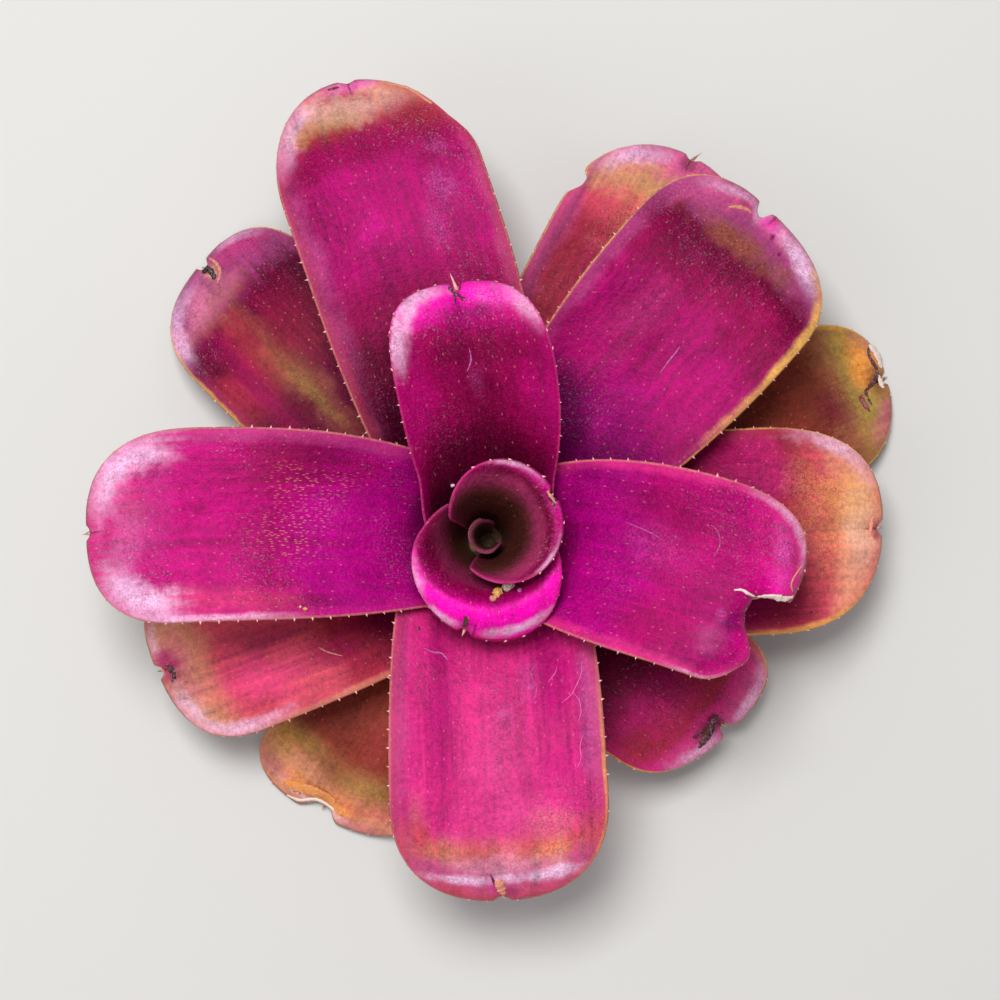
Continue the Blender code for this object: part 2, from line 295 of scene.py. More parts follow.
@dataclass(frozen=True)
class Leaf:
    """One leaf: its place in the spiral, its outline seen from above, and its side profile."""

    name: str
    place: int  # 0 is the innermost base on the stem
    direction: float  # anticlockwise from +X, seen from above
    reach: float  # from the axis to the tip
    half_width: float
    tip_length: float  # length of the rounded end
    throat: float  # height that the blade line has over the axis
    crest_radius: float
    crest: float  # highest point of the midrib
    tip: float  # height of the midrib at the tip
    neck: float = 0.85  # share of the half width left at the axis
    widest: float = 0.6  # share of the reach where the full width starts
    wrap: float = 105.0  # how far the sheath may reach round the axis, each way
    sway: float = 0.0  # sideways swing of the tip, to the left seen from the axis
    squareness: float = 2.6  # 2 is a round end, 4 nearly square
    skew: float = 0.0  # how much further the left shoulder of the tip reaches
    rise: float = 1.6  # 1 is a straight rise to the crest, more is a rounder one
    softness: float = 6.0  # radius of the bend from sheath to blade
    lip: float = 3.0  # how far the rounded end turns down at its edge
    channel: float = 0.0  # how far the margins stand above the midrib
    wave: float = 0.0  # height of the slow waves along the margins
    wave_length: float = 40.0
    wave_start: float = 0.0
    notch: float = 1.5  # depth of the notch in the tip; a leaf without one has no teeth or spine
    notch_half_width: float = 1.8
    notch_side: float = 0.0  # how far the notch lies to the left of the midrib
    notch_slope: float = 1.0  # less than 1 draws out the right side of the notch
    nick_run: float = 0.0  # where along the margin a piece is missing, 0 at the base and 1 at the tip
    nick_side: float = 1.0  # 1 is the left margin and -1 the right one
    nick_depth: float = 0.0  # share of the half width
    nick_length: float = 0.03


LEAVES = (
    Leaf("heart_leaf", 0, 200, 4.9, 9.5, 1.2, 51, 5, 51, 51, rise=1.0, softness=2.0, lip=0.0, notch=0.0,
         wrap=140),
    Leaf("cup_leaf_inner", 1, 16, 18.8, 16.8, 9.0, 74, 15, 74, 73, sway=4, lip=1.0, notch=1.4,
         wrap=140),
    Leaf("cup_leaf_outer", 2, 275, 26.0, 24.0, 10.0, 68, 17, 68, 61, sway=-6, skew=4, squareness=2.4,
         softness=6.5, lip=3.0, notch=1.2, notch_side=-2.3, wrap=130),
    Leaf("leaf_01", 3, 87, 60.0, 20.5, 26.0, 45, 55, 82, 80, neck=0.62, sway=11, squareness=3.4,
         rise=1.25, lip=6.0, channel=2.0, notch=2.0),
    Leaf("leaf_02", 4, -5, 75.5, 24.7, 16.0, 42, 62, 70, 67, neck=0.62, sway=-12, squareness=3.1,
         skew=6.5, lip=4.0, channel=1.5, wave=1.2, wave_length=44, notch=9.0, notch_half_width=2.6,
         notch_side=-1.4, notch_slope=0.17),
    Leaf("leaf_03", 5, 175, 99.5, 24.3, 24.0, 40, 68, 61, 56, neck=0.74, sway=8.5, squareness=2.8,
         skew=-1, lip=5.0, channel=1.5, wave=0.8, wave_length=52, notch=1.0),
    Leaf("leaf_04", 6, 273, 91.0, 27.6, 21.5, 36, 60, 54, 48, neck=1.0, sway=-1, squareness=2.7,
         lip=6.0, channel=2.0, wave=-1.0, wave_length=46, wave_start=6, notch=1.3),
    Leaf("leaf_05", 7, 47, 110.2, 27.5, 22.0, 32, 78, 49, 42, neck=0.45, widest=0.76, sway=2,
         squareness=3.0, skew=2, lip=5.0, channel=1.0, wave=1.0, wave_length=60, notch=3.2,
         notch_half_width=2.6, notch_side=3.4),
    Leaf("leaf_06", 8, 104, 124.0, 26.3, 27.0, 28, 84, 44, 35, neck=0.62, sway=7, squareness=2.0,
         skew=4, lip=4.0, channel=1.5, wave=-1.0, wave_length=54, notch=0.8, nick_run=0.95, nick_side=-1,
         nick_depth=0.08, nick_length=0.065),
    Leaf("leaf_07", 9, 0, 101.8, 26.8, 28.0, 24.5, 68, 37, 30, neck=0.62, sway=3, squareness=2.7,
         skew=2, lip=5.0, channel=1.0, wave=1.2, wave_length=48, wave_start=10, notch=1.5),
    Leaf("leaf_08", 10, 204, 92.0, 24.0, 19.5, 21, 62, 32, 25, neck=0.88, sway=-3.5, squareness=3.0,
         skew=-1, lip=4.0, channel=1.0, wave=1.0, wave_length=42, notch=1.8),
    Leaf("leaf_09", 11, 62, 115.5, 25.0, 24.0, 18, 72, 29, 18, squareness=2.2, lip=4.0, channel=1.0,
         wave=-1.2, wave_length=50, notch=1.0, nick_run=0.84, nick_side=1, nick_depth=0.12,
         nick_length=0.035),
    Leaf("leaf_10", 12, 317, 80.2, 23.8, 19.0, 15, 55, 24.5, 19, neck=1.0, sway=7, squareness=3.6,
         skew=3.5, lip=3.0, channel=1.0, wave=1.6, wave_length=38, wave_start=4, notch=3.0,
         notch_half_width=2.6),
    Leaf("leaf_11", 13, 138, 108.0, 23.2, 22.0, 12.5, 62, 21, 6, neck=1.0, sway=-4.5,
         squareness=2.8, skew=-2, lip=4.0, channel=1.0, wave=1.0, wave_length=46, notch=2.2),
    Leaf("leaf_12", 14, 22, 115.5, 21.0, 20.5, 10.5, 60, 17.5, 4.5, neck=0.9, sway=1.5,
         squareness=2.5, skew=3, lip=2.5, wave=-0.8, wave_length=50, notch=1.2),
    Leaf("leaf_13", 15, 242, 84.8, 25.0, 17.0, 8.5, 52, 13, 4.5, neck=0.62, sway=-6.5,
         squareness=3.6, skew=-2, lip=2.5, wave=1.0, wave_length=36, notch=3.6, notch_half_width=6.0,
         nick_run=0.86, nick_side=-1, nick_depth=0.06, nick_length=0.06),
)


@dataclass(frozen=True)
class Patch:
    """A soft patch of colour on a blade."""

    colour: str
    along: float  # 0 at the axis, 1 at the tip
    across: float  # -1 at the right margin, 1 at the left one
    half_length: float
    half_width: float
    strength: float = 0.7
    grain: float = 0.3  # 1 breaks the patch into specks
    band: float = 0.0  # in millimetres; above 0 the patch reaches only this far in from the margin


@dataclass(frozen=True)
class Look:
    """How one leaf is coloured: a run of colours from the axis to the tip, and what lies on it."""

    slot: str
    stops: tuple  # pairs of place and colour
    patches: tuple = ()  # rows of the values of Patch
    rim: str = "edge_line"
    # The border is partly a painted reflection of the bright surround on the raised margins.
    border: str = "rose"  # broad soft border inside the edge line
    border_strength: float = 0.3
    scurf: float = 0.5
    shine: float = 0.42
    spine: tuple = (1.8, 0.4, 1.0)  # how far it stands out and leans to the left in mm, and its dryness
    pucker: float = 0.5  # height of the crumpling round the notch, in mm
    dashes: tuple = ()  # places of clusters of pale lengthwise dashes


def sheen(along, across, half_length, half_width, band=7.0, strength=0.95):
    """A whitish patch that hugs the margin: dense scurf, and painted sheen where the turned-down end catches
    the bright surround.
    """
    return "scurf", along, across, half_length, half_width, strength, 0.5, band


# Most runs of colour start dark at the foot of the blade: painted shade where the blades lie under the ones
# above them.
LOOKS = {
    # The heart and the lower walls of the cup leaves are dark brown: painted shade deep inside the cup.
    "heart_leaf": Look(
        "young_leaf",
        ((0.0, "bark"), (1.0, "bark")),
        rim="cup", border="cup", scurf=0.0, shine=0.2, pucker=0.0),
    "cup_leaf_inner": Look(
        "young_leaf",
        ((0.0, "bark"), (0.5, "bark"), (0.7, "cup"), (0.82, "wine"), (0.9, "magenta"), (1.0, "hot")),
        (sheen(0.96, 0.7, 0.08, 0.5, 2.8), sheen(0.93, -0.85, 0.1, 0.35, 2.2)),
        rim="rose", border="magenta", scurf=0.25, shine=0.25, spine=(1.0, 0.3, 0.6), pucker=0.3),
    "cup_leaf_outer": Look(
        "young_leaf",
        ((0.0, "bark"), (0.34, "bark"), (0.48, "cup"), (0.6, "crimson"), (0.68, "magenta"), (0.76, "hot"),
         (1.0, "hot")),
        # The whitish bands on the turned lip are partly painted sheen.
        (("wine", 0.62, -0.85, 0.12, 0.4, 0.8), ("crimson", 0.62, 0.85, 0.12, 0.4, 0.8),
         ("scurf", 0.935, 0.5, 0.045, 0.45, 1.0, 0.45), ("scurf", 0.9, -0.6, 0.05, 0.45, 1.0, 0.45),
         ("scurf", 0.8, -0.98, 0.1, 0.3, 0.9, 0.45), ("purple", 0.88, -0.12, 0.07, 0.12)),
        rim="rose", border_strength=0.25, scurf=0.3, shine=0.32, spine=(2.0, -0.5, 0.4), pucker=0.3),
    "leaf_01": Look(
        "grown_leaf",
        ((0.2, "dark"), (0.34, "wine"), (0.5, "crimson"), (0.66, "crimson"), (0.78, "crimson"),
         (0.87, "fuchsia"), (0.95, "hot"), (1.0, "hot")),
        # The dark wine band under the turned lip and the darker face below it are painted shade.
        (("wine", 0.72, 0.0, 0.05, 0.9, 0.75), ("wine", 0.52, 0.0, 0.14, 0.45, 0.6),
         ("dark", 0.38, 0.0, 0.1, 0.7, 0.6), ("magenta", 0.6, 0.75, 0.18, 0.25),
         ("magenta", 0.6, -0.75, 0.18, 0.25), ("purple", 0.86, -0.05, 0.07, 0.35),
         ("lavender", 0.6, 0.02, 0.06, 0.1, 0.3, 1.0), ("hot", 0.88, 0.55, 0.045, 0.3, 0.6),
         sheen(0.86, 1.0, 0.14, 0.45, 5.0), sheen(0.95, 0.6, 0.06, 0.4, 5.0),
         sheen(0.92, -0.9, 0.1, 0.4, 4.5, 0.7), ("lip", 0.93, -0.4, 0.05, 0.35, 0.6, 0.9)),
        rim="rose", border="fuchsia", scurf=0.3, spine=(4.6, 0.5, 0.0), pucker=0.9),
    "leaf_02": Look(
        "grown_leaf",
        ((0.15, "purple"), (0.28, "violet"), (0.45, "violet"), (0.6, "magenta"), (0.8, "magenta"),
         (0.9, "fuchsia"), (0.95, "rose"), (1.0, "rose")),
        (("hot", 0.96, 0.3, 0.05, 0.5, 0.6, 0.5), ("crimson", 0.6, 0.5, 0.18, 0.3, 0.5),
         ("crimson", 0.6, -0.62, 0.16, 0.22, 0.6), ("rose", 0.92, 0.6, 0.08, 0.35, 0.7, 0.6),
         ("lip", 0.95, 0.5, 0.04, 0.3, 0.5, 0.9), ("mauve", 0.8, -0.6, 0.05, 0.2),
         ("purple", 0.83, -0.36, 0.035, 0.14, 0.9), ("lavender", 0.79, -0.33, 0.02, 0.07, 0.5, 0.9),
         ("wine", 0.86, -0.3, 0.02, 0.06, 0.8), ("rose", 0.6, 1.0, 0.5, 0.4, 0.9, 0.3, 3.4),
         ("rose", 0.6, -1.0, 0.5, 0.4, 0.9, 0.3, 3.8), sheen(0.96, 0.75, 0.12, 0.35, 2.6, 0.8),
         sheen(0.8, -0.95, 0.1, 0.2, 1.6, 0.7), ("lavender", 0.55, 0.1, 0.1, 0.25, 0.25, 1.0)),
        scurf=0.35, spine=(2.0, 0.2, 0.4), pucker=1.0),
    "leaf_03": Look(
        "grown_leaf",
        # The purple at the foot is painted shadow of the cup and leaf_01.
        ((0.16, "purple"), (0.23, "violet"), (0.42, "violet"), (0.54, "magenta"), (0.64, "fuchsia"),
         (0.82, "fuchsia"), (0.93, "rose")),
        # The lavender across the tip is painted sheen, and the mauve band along the upper margin is painted
        # reflection of the bright surround.
        (("crimson", 0.52, -0.6, 0.2, 0.32, 0.8), ("wine", 0.46, -0.7, 0.12, 0.2, 0.5),
         ("crimson", 0.6, 0.2, 0.25, 0.1, 0.45, 0.6), ("mauve", 0.6, -0.95, 0.4, 0.4, 0.8, 0.4, 5.0),
         ("olive", 0.88, -0.15, 0.05, 0.3, 0.35), ("coral", 0.65, 0.78, 0.2, 0.16, 0.4),
         ("mauve", 0.83, -0.1, 0.07, 0.7, 0.6, 0.7), ("pink", 0.9, 0.3, 0.05, 0.35, 0.6, 0.6),
         sheen(0.91, -0.65, 0.12, 0.55, 10.0), sheen(0.87, 0.72, 0.11, 0.45, 10.0),
         ("lavender", 0.9, 0.0, 0.06, 0.9, 0.45, 0.9), sheen(0.7, 0.97, 0.18, 0.2, 2.4, 0.85)),
        scurf=0.7, spine=(2.0, 0.3, 0.7), dashes=((0.46, -0.35), (0.5, 0.1))),
    "leaf_04": Look(
        "grown_leaf",
        ((0.2, "fuchsia"), (0.28, "rose"), (0.45, "rose"), (0.62, "rose"), (0.78, "rose"),
         (0.86, "coral"), (0.93, "pink"), (1.0, "coral")),
        # The mauve bands along both margins are painted reflection of the bright surround, and the two
        # whitish lines near the tip are a painted highlight along its fold.
        (("magenta", 0.5, -0.5, 0.3, 0.16, 0.9), ("magenta", 0.45, 0.55, 0.28, 0.26, 1.0),
         ("rose", 0.3, -0.1, 0.12, 0.35, 0.5), ("mauve", 0.6, -0.92, 0.35, 0.3, 0.9, 0.5, 7.0),
         ("mauve", 0.52, 0.92, 0.35, 0.3, 0.9, 0.5, 7.0), ("lavender", 0.55, 0.88, 0.14, 0.14, 0.5, 1.0),
         ("lavender", 0.42, 0.3, 0.05, 0.12, 0.55, 1.0), ("lavender", 0.5, 0.1, 0.04, 0.1, 0.4, 1.0),
         ("crimson", 0.52, 0.07, 0.012, 0.05, 0.7, 0.0), ("pink", 0.6, 0.0, 0.16, 0.3, 0.4, 0.8),
         ("pink", 0.76, 0.0, 0.09, 0.6, 0.4, 0.7), ("ochre", 0.88, 0.0, 0.05, 0.9, 0.45, 0.7),
         ("moss", 0.875, -0.55, 0.035, 0.22, 0.45, 0.9), ("gold", 0.87, 0.45, 0.03, 0.2, 0.4, 0.9),
         ("pink", 0.9, -0.1, 0.03, 0.35, 0.6, 0.7), ("scurf", 0.9, 0.0, 0.03, 0.6, 0.28, 0.6),
         ("ochre", 0.8, 0.5, 0.04, 0.3, 0.35, 0.8), ("moss", 0.78, -0.75, 0.06, 0.1, 0.4, 0.8),
         ("scurf", 0.937, -0.45, 0.015, 0.45, 0.95, 0.6), ("scurf", 0.932, 0.42, 0.018, 0.52, 0.95, 0.6),
         ("gold", 0.8, 1.0, 0.25, 0.3, 0.8, 0.2, 1.4), ("purple", 0.97, 0.1, 0.02, 0.09),
         ("hot", 0.95, -0.08, 0.02, 0.07, 0.5)),
        border="coral", scurf=0.45, spine=(1.2, 0.8, 0.6), pucker=0.6),
    "leaf_05": Look(
        "grown_leaf",
        ((0.28, "purple"), (0.38, "purple"), (0.48, "magenta"), (0.64, "magenta"), (0.76, "crimson"),
         (0.86, "wine"), (0.92, "mauve"), (0.97, "pink"), (1.0, "rose")),
        # The mauve band along the left margin is painted reflection of the bright surround, and the pink on
        # the upper lobe of the tip is partly painted sheen.
        (("violet", 0.42, -0.2, 0.09, 0.6), ("wine", 0.8, 0.4, 0.08, 0.5, 0.75),
         ("dark", 0.8, 0.35, 0.04, 0.25, 0.4), ("crimson", 0.62, 0.25, 0.14, 0.3, 0.5),
         ("olive", 0.88, 0.15, 0.035, 0.5, 0.65, 0.4), ("olive", 0.885, -0.4, 0.03, 0.22, 0.6, 0.4),
         ("mauve", 0.62, 0.3, 0.16, 0.2, 0.35, 0.9), ("pink", 0.94, 0.75, 0.05, 0.4, 0.7, 0.5),
         sheen(0.955, -0.45, 0.05, 0.5, 7.0, 0.9), sheen(0.97, 0.35, 0.04, 0.45, 4.5, 0.7),
         ("gold", 0.8, -1.0, 0.24, 0.4, 1.0, 0.1, 3.0), ("mauve", 0.72, 0.97, 0.3, 0.35, 0.8, 0.4, 6.0),
         ("hot", 0.97, -0.02, 0.025, 0.18, 0.8, 0.5), ("purple", 0.945, -0.12, 0.01, 0.035, 0.9, 0.0),
         ("purple", 0.925, -0.28, 0.006, 0.02, 0.8, 0.0)),
        rim="gold", border="mauve", border_strength=0.15, scurf=0.35, spine=(2.0, 4.6, 0.35), pucker=0.9),
    "leaf_06": Look(
        "grown_leaf",
        ((0.3, "dark"), (0.42, "wine"), (0.52, "crimson"), (0.62, "magenta"), (0.76, "magenta"),
         (0.84, "crimson"), (0.89, "brick"), (0.95, "ochre"), (1.0, "rose")),
        # The mauve bands along both margins are painted reflection of the bright surround.
        (("ochre", 0.925, 0.15, 0.035, 0.8, 0.85, 0.4), ("scurf", 0.93, 0.15, 0.035, 0.7, 0.28, 0.5),
         ("moss", 0.91, 0.3, 0.03, 0.35, 0.6, 0.6), ("gold", 0.9, 0.75, 0.025, 0.2, 0.5, 0.6),
         sheen(0.92, 0.85, 0.08, 0.5, 6.5), ("lavender", 0.72, -0.5, 0.05, 0.16, 0.6, 1.0),
         ("lavender", 0.64, -0.35, 0.05, 0.14, 0.4, 1.0), ("lavender", 0.8, -0.6, 0.025, 0.12, 0.5, 1.0),
         ("mauve", 0.68, 0.92, 0.34, 0.4, 0.9, 0.5, 8.5), ("lip", 0.985, -0.05, 0.022, 0.35, 0.85, 0.5),
         ("hot", 0.66, 0.3, 0.04, 0.14, 0.3, 0.9), ("dark", 0.42, 0.2, 0.08, 0.7, 0.6),
         ("mauve", 0.6, -0.97, 0.3, 0.3, 0.6, 0.4, 5.0), ("brick", 0.88, -0.6, 0.04, 0.4, 0.6),
         ("ochre", 0.92, -0.9, 0.06, 0.4, 1.0, 0.0, 1.2)),
        border="coral", scurf=0.45, spine=(1.4, 3.6, 0.9), pucker=0.7),
    "leaf_07": Look(
        "old_leaf",
        ((0.5, "wine"), (0.58, "crimson"), (0.68, "crimson"), (0.77, "brick"), (0.85, "coral"),
         (0.92, "peach"), (1.0, "peach")),
        (("rose", 0.72, 0.6, 0.07, 0.35, 0.7, 0.5), ("gold", 0.92, 0.3, 0.07, 0.55, 0.8, 0.9),
         ("gold", 0.83, 0.1, 0.08, 0.7, 0.55, 1.0), ("crimson", 0.8, -0.1, 0.06, 0.8, 0.45, 1.0),
         ("rose", 0.95, -0.45, 0.05, 0.35, 0.4, 1.0), ("peach", 0.93, -0.4, 0.06, 0.6, 0.7, 0.5),
         ("cream", 0.94, -0.1, 0.05, 0.5, 0.35, 0.5), ("olive", 0.86, 0.2, 0.03, 0.3, 0.35, 0.7),
         ("coral", 0.9, 0.7, 0.05, 0.3, 0.5, 0.7), sheen(0.92, 0.97, 0.12, 0.4, 5.5),
         ("wine", 0.74, -0.7, 0.12, 0.35, 0.75), ("magenta", 0.985, 0.0, 0.022, 0.12, 0.9),
         ("wine", 0.975, -0.1, 0.01, 0.06), ("gold", 0.85, -1.0, 0.2, 0.3, 0.9, 0.2, 2.0)),
        rim="gold", border="coral", scurf=0.3, spine=(2.0, 0.4, 0.7), pucker=0.9),
    "leaf_08": Look(
        "grown_leaf",
        ((0.35, "wine"), (0.5, "brick"), (0.6, "coral"), (0.72, "coral"), (0.8, "coral"), (0.95, "ochre"),
         (1.0, "ochre")),
        # The dark, black and wine patches along the upper margin are the painted shadow of leaf_03, which
        # lies above.
        (("dark", 0.6, -1.0, 0.4, 0.45, 1.0), ("char", 0.5, -1.0, 0.25, 0.25, 0.5),
         ("wine", 0.55, -0.6, 0.2, 0.3, 0.6), ("ochre", 0.9, -0.2, 0.07, 0.8, 0.85, 0.4),
         ("pink", 0.93, 0.1, 0.05, 0.6, 0.5, 0.6), sheen(0.86, 0.88, 0.14, 0.45, 5.5),
         sheen(0.93, 0.45, 0.06, 0.25, 7.0, 0.85), sheen(0.97, -0.4, 0.03, 0.25, 4.0, 0.8),
         ("magenta", 0.96, -0.03, 0.045, 0.22, 1.0), ("rose", 0.75, 0.45, 0.12, 0.3, 0.6, 0.6),
         ("crimson", 0.55, 0.5, 0.1, 0.2, 0.6), ("ochre", 0.6, 1.0, 0.25, 0.3, 0.9, 0.1, 2.2),
         ("crimson", 0.7, 0.1, 0.14, 0.2, 0.5)),
        border="coral", scurf=0.4, spine=(1.8, -0.5, 0.9), pucker=1.0),
    "leaf_09": Look(
        "grown_leaf",
        ((0.4, "wine"), (0.52, "brick"), (0.72, "brick"), (0.81, "coral"), (0.88, "ochre"), (0.96, "pink")),
        # The mauve band along the left margin is painted reflection of the bright surround.
        (("moss", 0.88, 0.2, 0.04, 0.3, 0.5, 0.6), sheen(0.93, 0.6, 0.07, 0.45, 7.0, 0.85),
         ("mauve", 0.68, 0.95, 0.24, 0.45, 0.9, 0.4, 8.0), ("gold", 0.77, 0.2, 0.1, 0.3, 0.35, 1.0),
         ("wine", 0.975, 0.0, 0.025, 0.14, 0.9), ("crimson", 0.7, 0.4, 0.12, 0.15, 0.5)),
        rim="gold", border="pink", spine=(3.4, -1.8, 0.9), pucker=0.8),
    "leaf_10": Look(
        "old_leaf",
        ((0.45, "dark"), (0.6, "wine"), (0.72, "crimson"), (0.86, "brick"), (0.92, "rose"), (1.0, "pink")),
        (("pink", 0.98, 0.5, 0.06, 0.5, 0.85, 0.5), ("pink", 0.96, -0.6, 0.06, 0.45, 0.8, 0.5),
         ("ochre", 0.9, 0.95, 0.12, 0.25, 0.85, 0.3, 3.0), ("olive", 0.86, 0.7, 0.06, 0.2, 0.6),
         ("bark", 0.93, -0.1, 0.035, 0.2, 0.9), ("dark", 0.95, 0.0, 0.025, 0.12, 0.9),
         sheen(0.99, 0.5, 0.05, 0.45, 3.6), sheen(0.97, -0.5, 0.05, 0.4, 4.6, 0.9),
         ("rose", 0.78, -0.2, 0.1, 0.5, 0.45, 0.6)),
        rim="gold", scurf=0.4, spine=(2.0, 0.8, 0.9), pucker=1.5),
    "leaf_11": Look(
        "old_leaf",
        ((0.4, "wine"), (0.55, "wine"), (0.7, "brick"), (0.82, "wine"), (0.9, "mauve"), (1.0, "mauve")),
        # The dark and wine patches on the right side, towards leaf_06, are painted shadow of that leaf.
        (("olive", 0.58, 0.12, 0.2, 0.22, 0.85, 0.4), ("moss", 0.55, 0.14, 0.1, 0.1, 0.45, 0.5),
         ("olive", 0.75, 0.1, 0.1, 0.12, 0.5, 0.5), ("dark", 0.7, -0.75, 0.25, 0.4, 0.75),
         ("crimson", 0.7, 0.55, 0.18, 0.16, 0.9), ("brick", 0.78, 0.2, 0.08, 0.2, 0.6),
         sheen(0.93, 0.85, 0.1, 0.5, 5.5), ("rose", 0.96, -0.5, 0.05, 0.45, 0.7, 0.6),
         sheen(0.98, -0.6, 0.04, 0.4, 3.0, 0.6), ("gold", 0.955, -0.02, 0.024, 0.11, 0.85, 0.6),
         ("char", 0.975, 0.0, 0.014, 0.06, 1.0), ("ochre", 0.9, 0.3, 0.05, 0.5, 0.45),
         ("wine", 0.72, -0.25, 0.14, 0.35, 0.75), ("lip", 0.92, 0.5, 0.05, 0.5, 0.35, 0.8),
         ("gold", 0.75, 1.0, 0.2, 0.3, 0.8, 0.2, 1.4)),
        rim="gold", border="mauve", scurf=0.45, spine=(1.4, 0.5, 1.0), pucker=1.0),
    "leaf_12": Look(
        "old_leaf",
        ((0.5, "bark"), (0.7, "rust"), (0.8, "rust"), (0.88, "olive"), (0.94, "moss"), (1.0, "ochre")),
        (("bark", 0.82, 0.1, 0.05, 0.4, 0.5), ("moss", 0.91, -0.05, 0.035, 0.9, 0.7, 0.5),
         ("orange", 0.955, 0.35, 0.045, 0.4, 1.0), ("bark", 0.972, 0.0, 0.025, 0.22, 0.9, 0.6),
         ("pink", 0.965, -0.7, 0.045, 0.35, 0.9, 0.4), ("wine", 0.86, -0.1, 0.04, 0.35, 0.6, 0.5),
         ("gold", 0.85, 1.0, 0.2, 0.3, 0.9, 0.2, 2.0)),
        rim="gold", border="olive", scurf=0.25, spine=(1.8, 0.2, 1.0), pucker=1.4),
    "leaf_13": Look(
        "old_leaf",
        ((0.45, "rust"), (0.6, "rust"), (0.76, "rust"), (0.84, "olive"), (0.92, "ochre"), (1.0, "ochre")),
        (("orange", 0.94, -0.1, 0.03, 0.55, 0.95, 0.5), ("rust", 0.925, -0.05, 0.012, 0.4, 0.7, 0.8),
         ("coral", 0.9, 0.45, 0.035, 0.35, 0.5, 0.4), ("moss", 0.86, 0.3, 0.05, 0.3, 0.6, 0.6),
         ("moss", 0.83, -0.5, 0.04, 0.25, 0.5, 0.6), ("mauve", 0.95, -0.75, 0.04, 0.3, 0.6, 0.5),
         ("scurf", 0.972, -0.1, 0.012, 0.5, 0.9, 0.5), ("gold", 0.88, -0.8, 0.06, 0.3, 0.6, 0.6),
         ("pink", 0.97, 0.7, 0.03, 0.4, 0.6, 0.4), ("brick", 0.7, 0.2, 0.08, 0.3, 0.3, 0.6)),
        rim="ochre", border="ochre", scurf=0.2, pucker=1.2),
}
